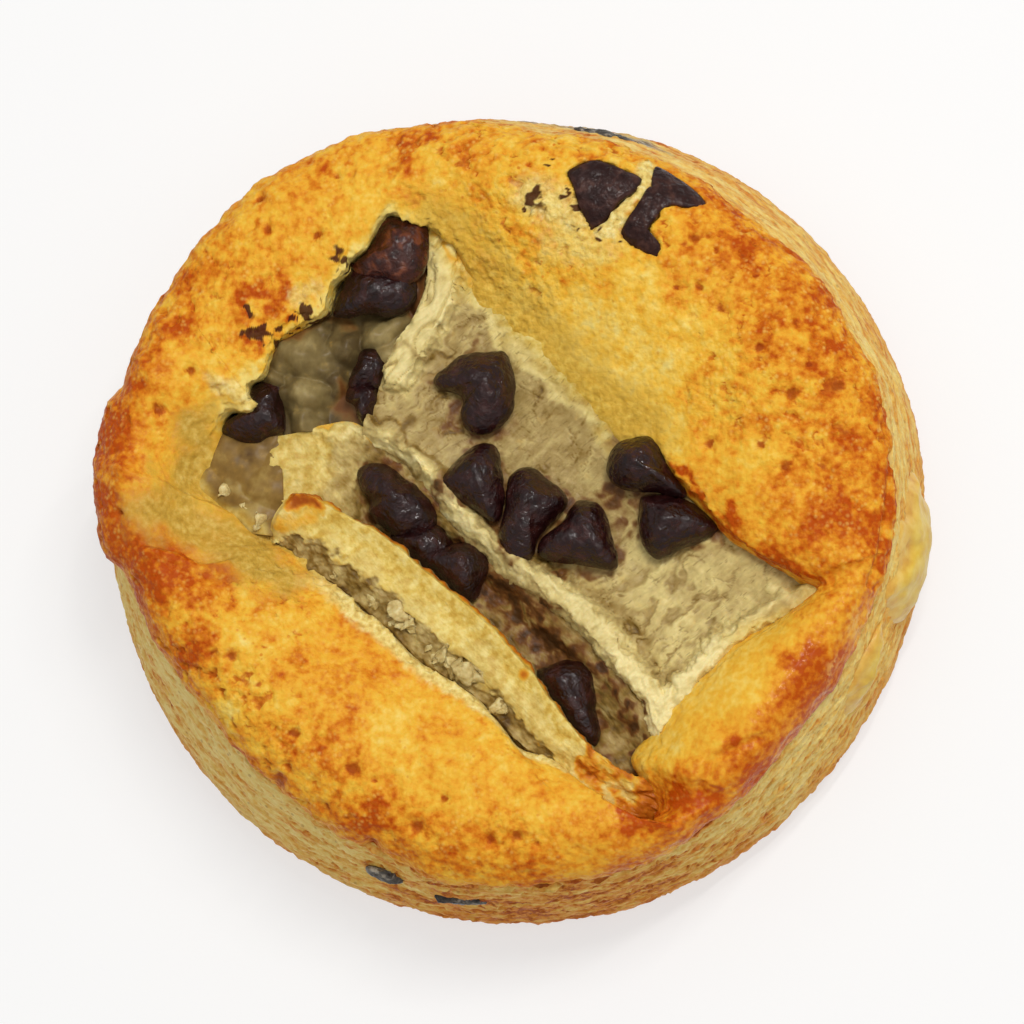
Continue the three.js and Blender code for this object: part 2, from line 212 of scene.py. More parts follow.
CRUST_UNDERSIDE = [(0.85, 18.5), (0.5, 18.5), (0.03, 22.2)]  # share of the way in, height
CRUST_CREASES = [  # path, width, height
    ([(-39.6, -7.6), (-36.5, -8.2), (-33.5, -9.6), (-30.5, -8.9)], 1.1, 0.7),
    ([(-39.2, -6.4), (-36.2, -7.0), (-33.2, -8.2), (-30.4, -7.6)], 0.9, -0.6),
    ([(24.7, -35.8), (26.4, -32.4), (31.6, -30.2)], 1.0, -0.5),
    ([(14.0, -36.5), (16.6, -37.6), (18.6, -38.8)], 0.7, -0.9),
    ([(5.5, 39.5), (9.8, 38.5)], 0.5, 0.35),
    ([(47.0, 3.0), (46.4, -3.0), (45.6, -9.0), (44.4, -12.6)], 0.7, -0.6),
    ([(2.0, 27.8), (4.6, 26.4), (6.3, 25.0)], 0.4, -0.25),
]
CRUST_CRUMBY = [  # path, width, amount
    ([(5.6, 33.5), (8.0, 32.0), (10.5, 31.0)], 3.4, 0.75),
    ([(8.5, 28.0), (14.0, 27.5)], 3.4, 0.35),
    ([(13.8, 28.6), (15.4, 30.4), (17.8, 33.4), (19.0, 36.4)], 1.7, 1.0),
    ([(-32.0, 12.5), (-29.5, 11.5), (-28.2, 10.0)], 1.6, 0.8),
    ([(-22.5, 22.5), (-20.0, 23.5)], 1.6, 0.6),
]
CRUST_STAINS = [  # x, y, radius of melted chocolate
    (-27.8, 20.9, 0.9), (-27.0, 18.0, 1.4), (-26.2, 17.6, 1.0), (-21.0, 21.7, 1.5),
    (-20.4, 20.6, 1.1),
    (-22.3, 19.4, 0.8), (-24.0, 18.4, 0.8), (-16.9, 27.4, 1.0), (6.0, 32.6, 1.0), (5.6, 31.4, 0.8),
    (9.9, 33.0, 0.8), (10.8, 31.2, 0.7), (8.0, 36.0, 0.4), (14.2, 28.2, 0.6),
]
CRUST_SCORCHES = [  # x, y, radius, how much browner
    (-29.0, 22.6, 1.4, 0.5), (-27.4, 23.8, 1.3, 0.4), (-25.4, 23.2, 1.3, 0.45), (-24.8, 21.6, 0.9, 0.4),
    (-28.6, 21.0, 1.0, 0.45), (-27.3, 16.4, 1.3, 0.6), (-24.6, 17.6, 1.2, 0.5), (-22.6, 19.2, 1.1, 0.5),
    (-9.6, 38.4, 1.6, 0.3), (-8.8, 41.0, 2.0, 0.3), (-6.0, 43.2, 1.6, 0.3), (37.4, -22.4, 3.0, 0.35),
    (-40.0, -7.8, 2.4, 0.5), (-37.4, -8.8, 1.8, 0.35), (-44.5, 7.5, 2.4, 0.4), (-43.8, -2.0, 1.0, 0.5),
    (17.6, -38.6, 1.8, 0.6), (24.0, -37.5, 3.0, 0.3), (31.0, -34.0, 3.0, 0.3), (46.4, -3.0, 1.4, 0.4),
    (46.2, 1.0, 1.2, 0.4), (45.6, -9.0, 1.2, 0.4), (19.6, 35.8, 1.6, 0.4), (14.4, 39.2, 1.4, 0.4),
    (-36.6, 19.0, 2.4, 0.3), (30.6, 27.0, 1.6, 0.4), (-33.4, -19.4, 2.6, 0.3), (42.5, 3.6, 2.0, 0.3),
    (40.6, -4.6, 2.4, 0.25), (-13.0, -39.6, 2.0, 0.3), (-17.8, 37.6, 1.2, 0.4),
]
THIN_EDGE = [  # the line along which the batter thins out over the pear
    (-6.4, 31.0), (-2.8, 27.2), (-1.0, 24.6), (3.8, 20.4), (9.4, 14.6), (14.2, 9.6), (18.0, 6.0),
]
OLIVE_EDGES = [  # other places where it is thin and damp: path, width
    ([(-36.6, -1.0), (-35.8, 2.5), (-34.4, 6.5)], 3.4),
    ([(-38.4, -2.4), (-35.0, -2.9), (-31.5, -4.9), (-28.0, -7.4), (-25.0, -9.6)], 4.4),
]
FLAKY_EDGE = [  # where the crust flaked off the tin's edge
    (44.4, -14.0), (42.2, -19.0), (40.6, -23.0), (39.4, -27.4), (36.6, -32.4), (32.4, -37.2),
    (27.4, -40.8), (20.5, -43.2),
]
# Along the broad slice the crust is painted darker: partly browner crust, partly painted shade where its
# edge drops to the slice.
BROWN_AND_SHADE_LINE = [(21.0, 2.6), (25.6, -3.0), (32.0, -8.4), (38.4, -12.6)]  # browner along the broad slice
SUNK_CHIPS = {  # outlines of the chips that lie level with the crust
    16: [(9.7, 36.0), (11.2, 37.1), (13.0, 37.6), (14.8, 37.1), (16.6, 36.2), (18.3, 35.2), (17.6, 33.6),
         (15.8, 32.2), (14.4, 30.3), (12.4, 29.0), (11.7, 30.7), (11.0, 32.1), (10.4, 34.3)],
    17: [(19.8, 36.8), (20.8, 36.5), (22.1, 35.6), (24.0, 34.3), (25.8, 32.2), (23.9, 31.6), (22.1, 31.8),
         (20.6, 31.2), (19.6, 32.4), (19.5, 34.6)],
    18: [(19.3, 34.2), (20.6, 33.6), (21.0, 32.2), (20.4, 30.6), (19.5, 29.4), (19.4, 28.6), (20.6, 27.2),
         (20.1, 25.9), (18.2, 26.6), (16.7, 27.5), (15.9, 28.7), (16.8, 30.4), (18.0, 32.0)],
}
COARSE = [  # x, y, how blistered the crust is there, 0 to 1
    (-37, 1, 0.1), (-33, 5, 0.1), (33, -22, 0.0), (26, -30, 0.0), (37, -26, 0.05), (31, -34, 0.1),
    (24, -38, 0.3), (30, -4, 0.3),
    (-5, 40, 0.8), (8, 33, 1.0), (25, 25, 0.8), (35, 12, 0.9), (40, 0, 0.8), (38, -8, 0.5),
    (0, -41, 0.6), (-20, -30, 0.7), (-28, -18, 0.8), (-40, -12, 0.7), (-43, 5, 0.8),
    (-32, 22, 0.7), (-20, 32, 0.5), (-12, 34, 0.5), (18, 18, 0.4), (-14, -20, 0.3),
    (-4, -30, 0.5), (-9, -36, 0.6), (16, -40, 0.35),
]
MOIST = [  # x, y, how greasy and shiny
    (33, -22, 1.0), (38, -24, 1.0), (28, -27, 0.9), (22, -33, 0.9), (32, -32, 0.8), (25, -40, 0.6),
    (-37, 1, 0.5), (-14, -20, 0.6), (-36, 8, 0.5), (5, 22, 0.5), (20, 10, 0.5), (35, 12, 0.2),
    (10, 33, 0.1), (-20, -30, 0.3), (0, -41, 0.2), (-40, -12, 0.4), (-30, 22, 0.3), (-10, 36, 0.4),
    (40, 0, 0.2),
]
CRUST_PITS = [  # x, y, radius
    (-26.1, -23.2, 0.5), (-22.1, -29.0, 0.8), (-24.4, -34.3, 1.0), (-23.1, -32.9, 0.5),
    (-15.1, -33.1, 1.0), (-12.6, -34.4, 0.5), (-14.4, -35.5, 0.3), (-18.8, -37.4, 0.6),
    (-7.9, -39.9, 0.9), (-13.9, -41.9, 0.8), (-29.3, -19.8, 0.8), (-33.9, -21.3, 0.5),
    (-4.6, -36.6, 0.6), (3.7, -41.1, 0.7), (6.1, -42.1, 0.5), (0.7, -41.4, 0.7),
    (10.7, -42.5, 0.3), (25.7, 4.2, 0.7), (32.0, 3.7, 0.7), (34.9, 1.2, 0.9), (39.1, 1.1, 0.6),
    (35.7, 9.6, 1.0), (40.8, 10.3, 1.0), (42.1, 2.4, 0.3), (38.0, 3.4, 0.3), (36.5, 17.8, 0.7),
    (32.1, 14.9, 0.8), (27.5, 19.6, 0.6), (37.7, 13.1, 0.7), (24.7, 28.0, 0.9),
    (27.0, 26.4, 0.5), (30.3, 26.1, 0.5), (25.0, 22.1, 0.6), (22.3, 22.2, 0.5),
    (31.7, 23.7, 0.5), (33.8, 23.0, 0.3), (-27.0, 34.6, 0.6), (-17.8, 36.9, 0.5),
    (-25.7, 30.7, 0.6), (-19.9, 29.7, 0.6), (-34.8, 13.8, 0.6), (-38.6, 9.5, 0.8),
    (-43.2, -2.9, 0.6), (-31.7, -19.6, 0.6), (-36.4, -18.9, 0.5), (18.0, -38.8, 0.6),
    (6.5, 31.5, 0.7), (9.6, 32.5, 0.5), (4.5, 31.6, 0.3), (-4.4, 27.5, 0.5),
]
CRUST_TONES = [  # browning, colour
    (0.00, (238, 212, 120)), (0.20, (238, 198, 88)), (0.40, (234, 182, 60)),
    (0.60, (230, 162, 46)), (0.80, (212, 124, 26)), (1.00, (182, 76, 10)),
]
CRUST_FILM = [  # azimuth round the well, 1 where the crust thins out into it, 0 where it ends upright
    (300, 0.0), (312, 0.5), (340, 0.5), (350, 0.25), (8, 0.25), (16, 0.5), (24, 1.0), (78, 1.0),
    (88, 0.0), (152, 0.0), (164, 0.9), (196, 0.9), (208, 0.2), (216, 0.0),
]
CRUST_OLIVE = [  # azimuth round the well, 1 where the fruit shows through its thin edge
    (350, 0.0), (14, 0.0), (26, 1.0), (80, 1.0), (92, 0.0), (156, 0.0), (164, 1.0), (202, 1.0),
    (214, 0.0),
]


def colour(red, green, blue):
    """A colour given as on a screen, 0 to 255, as the linear colour that shaders take."""
    parts = [c / 255 for c in (red, green, blue)]
    return [c / 12.92 if c <= 0.04045 else ((c + 0.055) / 1.055) ** 2.4 for c in parts] + [1.0]


def hump(distance, width):
    """1 at no distance, easing to 0 at the width."""
    t = np.clip(np.abs(distance) / width, 0, 1)
    return 1 - t * t * (3 - 2 * t)


def ease(value, low, high):
    """0 below low, 1 above high, and a smooth step between them."""
    t = np.clip((value - low) / (high - low), 0, 1)
    return t * t * (3 - 2 * t)


def grain(points, size, octaves=3, shift=0.0):
    """Fractal noise about 0, with lumps of about that size, at each point of an (..., 3) array."""
    flat = (points.reshape(-1, 3) / size + shift).tolist()
    values = [noise.fractal(p, 0.9, 2.1, octaves) for p in flat]
    return np.array(values).reshape(points.shape[:-1])


def closed_curve(points, count):
    """Points along the smooth closed curve through a list of points."""
    p = np.array(points, float)
    t = np.arange(count) / count * len(p)
    i = np.floor(t).astype(int)
    t = (t - i)[:, None]
    a, b, c, d = (p[(i + k) % len(p)] for k in (-1, 0, 1, 2))
    return 0.5 * (2 * b + (c - a) * t + (2 * a - 5 * b + 4 * c - d) * t**2
                  + (3 * b - a - 3 * c + d) * t**3)


def outline(entries, azimuth):
    """Radius at each azimuth of an outline listed as (azimuth, radius), eased between entries."""
    out = np.zeros_like(azimuth)
    for (start, radius), (end, following) in zip(entries, entries[1:] + entries[:1]):
        span = (end - start) % 360
        along = (azimuth - start) % 360
        inside = along <= span
        eased = radius + (following - radius) * ease(along, 0, span)
        out[inside] = eased[inside]
    return out


def rolled_grid(columns, rings, hoop):
    """A grid rolled up round Z, and closed the other way too if it is a hoop. Gives the bmesh, and
    the column and ring of each vertex in the order of its vertices."""
    bm = bmesh.new()
    bmesh.ops.create_grid(bm, x_segments=columns, y_segments=rings - (not hoop), size=0.5)
    flat = np.array([v.co for v in bm.verts])
    turn = (flat[:, 0] + 0.5) * math.tau
    climb = (flat[:, 1] + 0.5) * math.tau
    reach = 3 + np.cos(climb) if hoop else 3 + 0 * climb
    height = np.sin(climb) if hoop else climb
    rolled = np.stack([reach * np.cos(turn), reach * np.sin(turn), height], axis=1)
    for vertex, place in zip(bm.verts, rolled):
        vertex.co = place
    bmesh.ops.remove_doubles(bm, verts=bm.verts, dist=1e-5)
    place = np.array([v.co for v in bm.verts])
    column = np.rint(np.arctan2(place[:, 1], place[:, 0]) / math.tau * columns).astype(int) % columns
    climb = np.arctan2(place[:, 2], np.hypot(place[:, 0], place[:, 1]) - 3) if hoop else place[:, 2]
    return bm, column, np.rint(climb / math.tau * (rings - (not hoop))).astype(int) % rings


def finish_mesh(name, bm, points):
    """Moves the bmesh's vertices to their places in millimetres and makes the object of it."""
    for vertex, place in zip(bm.verts, points * MM):
        vertex.co = place
    bmesh.ops.recalc_face_normals(bm, faces=bm.faces)
    for face in bm.faces:
        face.smooth = True
    data = bpy.data.meshes.new(name)
    bm.to_mesh(data)
    bm.free()
    return link_object(name, data)


def paint(piece, name, values):
    """Keeps one number per vertex, from 0 to 1, that the piece's material reads."""
    layer = piece.data.attributes.new(name, "FLOAT", "POINT")
    layer.data.foreach_set("value", np.clip(values, 0, 1).astype(np.float32))


def sheet_normals(grid):
    """Unit normals of a (columns, rings, 3) grid of points that closes both ways."""
    around = np.roll(grid, -1, 0) - np.roll(grid, 1, 0)
    across = np.roll(grid, -1, 1) - np.roll(grid, 1, 1)
    normal = np.cross(around, across)
    return normal / np.maximum(np.linalg.norm(normal, axis=2), 1e-9)[..., None]


def near_path(points, path, width):
    """1 on a line through the path's points, easing to 0 at the width, in plan."""
    best = np.full(points.shape[:-1], 1e9)
    for a, b in zip(path, path[1:]):
        a, b = np.array(a, float), np.array(b, float)
        t = np.clip(((points[..., :2] - a) @ (b - a)) / ((b - a) @ (b - a)), 0, 1)
        best = np.minimum(best, np.linalg.norm(points[..., :2] - a - t[..., None] * (b - a), axis=-1))
    return hump(best, width)


def patches(points, entries, reach):
    """Blends the last number of (x, y, number) entries over the points, in plan."""
    total = np.zeros(points.shape[:-1])
    weight = np.full(points.shape[:-1], 1e-6)
    for x, y, value in entries:
        near = np.exp(-((points[..., 0] - x) ** 2 + (points[..., 1] - y) ** 2) / (2 * reach**2))
        total += near * value
        weight += near
    return total / weight


def depth_inside(points, polygon):
    """How far points lie inside a closed outline, in plan; below 0 outside."""
    x, y = points[..., 0], points[..., 1]
    nearest = np.full(x.shape, 1e9)
    inside = np.zeros(x.shape, bool)
    for (ax, ay), (bx, by) in zip(polygon, polygon[1:] + polygon[:1]):
        run, rise = bx - ax, by - ay
        t = np.clip(((x - ax) * run + (y - ay) * rise) / (run**2 + rise**2), 0, 1)
        nearest = np.minimum(nearest, np.hypot(x - ax - t * run, y - ay - t * rise))
        if rise != 0:
            inside ^= ((ay > y) != (by > y)) & (x < ax + (y - ay) * run / rise)
    return np.where(inside, nearest, -nearest)


def warped(points, size, reach, shift=0.0):
    """The points moved about in plan, so that what is looked up with them gets uneven borders."""
    push = [grain(points, size, 3, shift), grain(points, size, 3, shift + 50.0)]
    return np.concatenate([points[..., :2] + reach * np.stack(push, axis=-1), points[..., 2:]], axis=-1)


def cake_columns(count, fine=7200):
    """Pairs points of the well's rim with azimuths of the outer edge, all round the cake."""
    rim = closed_curve(WELL_RIM, fine)
    azimuth = np.degrees(np.unwrap(np.arctan2(rim[:, 1] - WELL_CENTRE[1], rim[:, 0] - WELL_CENTRE[0])))
    azimuth = np.maximum.accumulate(azimuth)
    run = np.linalg.norm(np.diff(rim, axis=0), axis=1)
    spread = np.concatenate([[0], np.cumsum(run / run.sum() + np.diff(azimuth) / 360)])
    at = np.interp(np.arange(count) / count * spread[-1], spread, np.arange(fine))
    pick = [np.interp(at, np.arange(fine), rim[:, k]) for k in range(3)]
    return np.stack(pick, axis=1), np.interp(at, np.arange(fine), azimuth)


def blend(tree, factor, low, high):
    """A colour mixed from low to high by the factor."""
    return node(tree, "ShaderNodeMix", {"Factor": factor, "A": low, "B": high},
                data_type="RGBA").outputs["Result"]


def calc(tree, kind, a, b=0.0, c=0.0):
    """A sum or the like; MULTIPLY_ADD gives a times b plus c."""
    made = node(tree, "ShaderNodeMath", operation=kind)
    for socket, value in zip(made.inputs, (a, b, c)):
        if isinstance(value, bpy.types.NodeSocket):
            tree.links.new(value, socket)
        else:
            socket.default_value = value
    return made.outputs["Value"]


def speckle(tree, where, size, detail=2.0, distort=0.0):
    """Noise from 0 to 1 with spots of about that many millimetres."""
    return node(tree, "ShaderNodeTexNoise", {
        "Vector": where, "Scale": 1 / (size * MM), "Detail": detail, "Distortion": distort,
    }).outputs["Fac"]


def mottle(tree, where, size, detail=4.0, distort=0.0):
    """The same noise about 0."""
    return calc(tree, "SUBTRACT", speckle(tree, where, size, detail, distort), 0.5)


def bubbles(tree, where, size):
    """0 at the middle of each cell, rising to its border, with cells of that many millimetres."""
    return node(tree, "ShaderNodeTexVoronoi", {
        "Vector": where, "Scale": 1 / (size * MM), "Randomness": 1.0,
    }).outputs["Distance"]


def step_up(tree, value, low, high):
    """0 below low, 1 above high; the other way round when low is above high."""
    return node(tree, "ShaderNodeMapRange", {
        "Value": value, "From Min": low, "From Max": high,
    }, interpolation_type="SMOOTHSTEP").outputs["Result"]


def painted(tree, name):
    """The number that paint kept under that name."""
    return node(tree, "ShaderNodeAttribute", attribute_name=name).outputs["Fac"]


def tone_ramp(tree, value, tones):
    """A ramp through (level, colour) pairs."""
    made = node(tree, "ShaderNodeValToRGB", {"Fac": value})
    stops = made.color_ramp.elements
    for index, (level, tone) in enumerate(tones):
        stop = stops[index] if index < 2 else stops.new(level)
        stop.position = level
        stop.color = colour(*tone)
    return made.outputs["Color"]


def moist_flesh(shader, depth, weight):
    """Light that scatters a little below the surface."""
    shader.inputs["Subsurface Weight"].default_value = weight
    shader.inputs["Subsurface Radius"].default_value = (1.0, 0.55, 0.25)
    shader.inputs["Subsurface Scale"].default_value = depth * MM


def add_bump(tree, shader, height, strength, depth):
    """Fine relief that many millimetres deep, below what the mesh shows."""
    bump = node(tree, "ShaderNodeBump", {"Height": height, "Strength": strength, "Distance": depth * MM})
    tree.links.new(bump.outputs["Normal"], shader.inputs["Normal"])


def finish_piece(piece, material, slot, *nodes):
    """Gives the piece its finish, hangs it under the root body and hides the solids that it stands in
    for. The slot is not used.
    """
    piece.data.materials.append(material)
    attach(piece, "root")
    if nodes:
        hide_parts(*nodes)


rim, azimuth = cake_columns(CRUST_COLUMNS)
angle = np.radians(azimuth)
outward = np.stack([np.cos(angle), np.sin(angle)], axis=1)
edge = outline(CRUST_EDGE, azimuth)
from_lip = (azimuth - LIP_AZIMUTH + 180) % 360 - 180
lip = LIP * ease(from_lip, -15, -11) * (1 - ease(from_lip, 11, 14))
turn = azimuth % 360
film = outline(CRUST_FILM, turn)
inward = rim[:, :2] - edge[:, None] * outward
inward /= np.linalg.norm(inward, axis=1)[:, None]


def crust_profile():
    """Points down each column, from the outer edge over the crest to the well's rim and down.
    Gives them with their place along the column: 0 at the edge, 1 at the rim, 2 at the bottom."""
    s = np.linspace(0, 1, 240)[None, :]
    reach = (edge + OVERHANG)[:, None] + lip[:, None] * (1 - ease(s, 0, 0.15))
    flat = [reach * outward[:, k, None] * (1 - s) + rim[:, k, None] * s for k in (0, 1)]
    width = np.linalg.norm(edge[:, None] * outward - rim[:, :2], axis=1)
    rise = np.minimum(CREST_HEIGHT - np.maximum(EDGE_HEIGHT, rim[:, 2]), 0.42 * width)
    side = EDGE_HEIGHT + (rim[:, 2, None] - EDGE_HEIGHT) * ease(s, 0, 1)
    height = side + rise[:, None] * np.maximum(np.sin(math.pi * s**0.62), 0) ** 0.9
    swell = sum(h * hump(np.hypot(flat[0] - x, flat[1] - y), r) for x, y, r, h in CRUST_SWELLS)
    top = np.stack(flat + [height + swell * hump(s - 0.5, 0.5)], axis=2)
    t = np.linspace(0, 1, 60)[None, 1:]
    step = (0.2 + 3.4 * film[:, None]) * ease(t, 0, 0.6) - 0.9 * (1 - film[:, None]) * ease(t, 0.3, 1)
    drop = CRUST_DEPTH * t ** (1 + 0.9 * film[:, None])
    down = rim[:, None, :2] + inward[:, None] * step[..., None]
    down = np.concatenate([down, (rim[:, 2, None] - drop)[..., None]], axis=2)
    fine = np.concatenate([top, down], axis=1)
    ruler = np.concatenate([s[0], 1 + t[0]])
    pieces = np.linalg.norm(np.diff(fine, axis=1), axis=2)
    length = np.pad(np.cumsum(pieces, axis=1), ((0, 0), (1, 0)))
    rings = CRUST_RINGS - len(CRUST_UNDERSIDE)
    out = np.zeros((len(fine), rings, 3))
    place = np.zeros((len(fine), rings))
    for i in range(len(fine)):
        at = np.linspace(0, length[i, -1], rings)
        place[i] = np.interp(at, length[i], ruler)
        for k in range(3):
            out[i, :, k] = np.interp(at, length[i], fine[i, :, k])
    for share, height in CRUST_UNDERSIDE:
        low = edge[:, None] * outward * (1 - share) + rim[:, :2] * share
        low = np.pad(low, ((0, 0), (0, 1)), constant_values=height)
        out = np.concatenate([out, low[:, None]], axis=1)
        place = np.pad(place, ((0, 0), (0, 1)), constant_values=2.0)
    return out, place


# Its relief: broad swells, blisters, pits, creases, open crumb and a frayed edge.
crust_grid, along = crust_profile()
normal = sheet_normals(crust_grid)
shown = 1 - ease(along, 1.8, 2.0)
uneven = warped(crust_grid, 3.2, 2.2, 77.0)
coarse = patches(uneven, COARSE, 5.0)
open_crumb = warped(crust_grid, 1.3, 0.8, 87.0)
crust_pit = 0.7 * ease(grain(open_crumb, 1.5, 2, 89.0), 0.32, 0.6) * ease(coarse, 0.35, 0.8)
rounded = warped(crust_grid, 1.0, 0.4, 87.0)
for x, y, radius in CRUST_PITS:
    spot = np.hypot(rounded[..., 0] - x, rounded[..., 1] - y)
    crust_pit = np.maximum(crust_pit, 1.1 * hump(spot, 1.7 * radius) * min(1.0, radius / 0.6))
crust_pit *= along < 1
blister = 1 - np.abs(grain(crust_grid, 1.7, 2, 19.0)) * 2.4
relief = 0.32 * grain(crust_grid, 7.0, 2)
relief += 0.22 * grain(crust_grid, 2.6, 2, 11.0) * (0.4 + 0.6 * coarse)
relief += 0.11 * grain(crust_grid, 0.95, 2, 23.0) * (0.3 + 0.8 * coarse)
relief += 0.12 * (blister - 0.6) * coarse
relief -= 0.6 * crust_pit
for path, width, height in CRUST_CREASES:
    relief += height * near_path(crust_grid, path, width)
sunk = np.zeros_like(along)
for polygon in SUNK_CHIPS.values():
    sunk = np.maximum(sunk, ease(depth_inside(warped(crust_grid, 0.9, 0.25), polygon), -0.15, 0.25))
bare = np.zeros_like(along)
for path, width, amount in CRUST_CRUMBY:
    bare = np.maximum(bare, amount * np.minimum(1.7 * near_path(open_crumb, path, width), 1))
relief += 0.5 * bare * grain(crust_grid, 1.1, 2, 83.0)
frayed = hump(along, 0.05) * (0.35 * grain(crust_grid, 2.4, 3, 41.0) - 0.05)
torn = 0.6 * grain(crust_grid, 2.2, 2, 53.0) + 0.5 * grain(crust_grid, 0.8, 2, 59.0)
torn *= hump(along - 1, 0.14) * (1.0 - 0.8 * film[:, None])
crust_grid = crust_grid + normal * (relief * shown)[..., None]
crust_grid[..., 2] -= 1.5 * sunk * (along < 1)
crust_grid[..., :2] += frayed[..., None] * outward[:, None] + torn[..., None] * inward[:, None]

# What its material reads: browning, thin and damp places, bare crumb, and melted chocolate.
bank = ease(turn, 181, 190) * (1 - ease(turn, 294, 302)) * (1 - film)
to_rim = np.linalg.norm(crust_grid[..., :2] - rim[:, None, :2], axis=2)
pale = bank[:, None] * (1 - ease(to_rim + 0.8 * grain(uneven, 1.6, 2, 3.0), 1.3, 2.6))
inner_side = ease(along, 1.0, 1.06) * (ease(turn, 160, 190) * (1 - ease(turn, 294, 300)))[:, None]
pale = np.maximum(pale, inner_side) * (1 - film[:, None])
crust_crumb = np.maximum(bare, pale)
pocket = (ease(turn, 84, 94) * (1 - ease(turn, 150, 160)))[:, None]
thin = 0.95 * near_path(uneven, THIN_EDGE, 6.0)
for path, width in OLIVE_EDGES:
    thin = np.maximum(thin, 0.9 * near_path(uneven, path, width))
thin = np.maximum(thin, outline(CRUST_OLIVE, turn)[:, None] * ease(along, 0.98, 1.04))
damp = np.zeros_like(along)
for path, width in OLIVE_EDGES:
    damp = np.maximum(damp, near_path(uneven, path, width + 1.2))
browning = patches(uneven, BROWNING, BROWNING_REACH) + 0.06 * coarse
speckled = 0.22 * grain(crust_grid, 3.4, 3, 5.0) + 0.16 * grain(crust_grid, 1.2, 2, 31.0)
browning += speckled * (0.4 + coarse)
browning += 0.10 * (0.6 - blister) * coarse - 0.4 * pocket * ease(along, 0.86, 1.0)
# Browner crust plus painted shade along its edge over the broad slice.
browning += 0.5 * near_path(uneven, BROWN_AND_SHADE_LINE, 1.3)
for x, y, radius, amount in CRUST_SCORCHES:
    browning += amount * hump(np.hypot(uneven[..., 0] - x, uneven[..., 1] - y), 1.6 * radius)
flaky_edge = 0.8 * near_path(uneven, FLAKY_EDGE, 1.5) * (0.6 + 0.8 * grain(crust_grid, 3.0, 2, 61.0))
stain = 0.8 * sunk
for x, y, radius in CRUST_STAINS:
    spot = np.hypot(uneven[..., 0] - x, uneven[..., 1] - y)
    stain = np.maximum(stain, 1.4 * hump(spot * (1 + 0.7 * grain(crust_grid, 0.9, 3, y)), 1.1 * radius))
crust_paints = {
    "browning": browning, "coarse": coarse, "crumb": crust_crumb, "pit": crust_pit, "stain": stain,
    "thin": thin, "moist": patches(uneven, MOIST, 5.0), "flaky": flaky_edge, "damp": damp,
}

bm, column, ring = rolled_grid(CRUST_COLUMNS, CRUST_RINGS, hoop=True)
crust = finish_mesh("browned_crust", bm, crust_grid[column, ring])
for name, field in crust_paints.items():
    paint(crust, name, field[column, ring])

crust_look, tree, shader, where = new_material("browned_crust")
coarse_look = painted(tree, "coarse")
grit = mottle(tree, where, 0.8)
grit_level = calc(tree, "ADD", grit, 0.5)
level = calc(tree, "MULTIPLY_ADD", grit, 0.8, painted(tree, "browning"))
level = calc(tree, "MULTIPLY_ADD", mottle(tree, where, 2.8, 3.0, 0.6), 0.36, level)
tone = tone_ramp(tree, level, CRUST_TONES)
flakes = step_up(tree, speckle(tree, where, 1.1, 4.0, 1.2), 0.44, 0.62)
tone = blend(tree, calc(tree, "MULTIPLY", painted(tree, "flaky"), flakes), tone, colour(230, 174, 92))
grains = bubbles(tree, where, 0.7)
clusters = step_up(tree, speckle(tree, where, 2.2), 0.4, 0.65)
pale_grain = calc(tree, "MULTIPLY", step_up(tree, grains, 0.5, 0.1), clusters)
pale_grain = calc(tree, "MULTIPLY", pale_grain, calc(tree, "MULTIPLY_ADD", coarse_look, 0.5, 0.05))
tone = blend(tree, pale_grain, tone, colour(244, 204, 104))
clusters = step_up(tree, speckle(tree, where, 3.4), 0.46, 0.6)
pores = calc(tree, "MULTIPLY", step_up(tree, bubbles(tree, where, 1.0), 0.26, 0.12), clusters)
pit_depth = calc(tree, "MULTIPLY_ADD", grit, 0.8, painted(tree, "pit"))
pores = calc(tree, "MULTIPLY", pores, coarse_look)
holes = calc(tree, "MAXIMUM", pores, step_up(tree, pit_depth, 0.2, 0.9))
hole_tone = tone_ramp(tree, pit_depth, [
    (0.3, (210, 124, 32)), (0.6, (190, 92, 22)), (0.95, (156, 66, 14)),
])
tone = blend(tree, calc(tree, "MULTIPLY", holes, 0.9), tone, hole_tone)
olive = tone_ramp(tree, grit_level, [
    (0.25, (188, 144, 46)), (0.5, (208, 166, 64)), (0.75, (226, 194, 92)),
])
tone = blend(tree, calc(tree, "MULTIPLY", painted(tree, "thin"), 0.9), tone, olive)
damp_tone = tone_ramp(tree, grit_level, [
    (0.3, (170, 134, 52)), (0.5, (193, 156, 66)), (0.7, (214, 184, 98)),
])
tone = blend(tree, calc(tree, "MULTIPLY", painted(tree, "damp"), 0.8), tone, damp_tone)
crumb_tone = tone_ramp(tree, speckle(tree, where, 0.7, 4.0), [
    (0.30, (202, 166, 86)), (0.5, (230, 204, 120)), (0.72, (246, 230, 164)),
])
tone = blend(tree, painted(tree, "crumb"), tone, crumb_tone)
stain_edge = calc(tree, "MULTIPLY_ADD", grit, 0.5, painted(tree, "stain"))
stained = calc(tree, "MULTIPLY", step_up(tree, stain_edge, 0.2, 0.8), 0.95)
tone = blend(tree, stained, tone, colour(70, 28, 18))
tree.links.new(tone, shader.inputs["Base Color"])
dull = calc(tree, "MULTIPLY_ADD", painted(tree, "moist"), -0.36, 0.54)
tree.links.new(calc(tree, "MULTIPLY_ADD", grit, 0.3, dull), shader.inputs["Roughness"])
greasy = calc(tree, "MULTIPLY_ADD", painted(tree, "moist"), 0.07, 0.04)
tree.links.new(greasy, shader.inputs["Specular IOR Level"])
moist_flesh(shader, 1.0, 0.1)
crumbly = calc(tree, "SUBTRACT", speckle(tree, where, 0.6, 4.0), calc(tree, "MULTIPLY", grains, 0.6))
crumbly = calc(tree, "MULTIPLY", crumbly, calc(tree, "MULTIPLY_ADD", coarse_look, 0.8, 0.3))
add_bump(tree, shader, crumbly, 0.7, 0.4)
finish_piece(crust, crust_look, "crust", "cake")

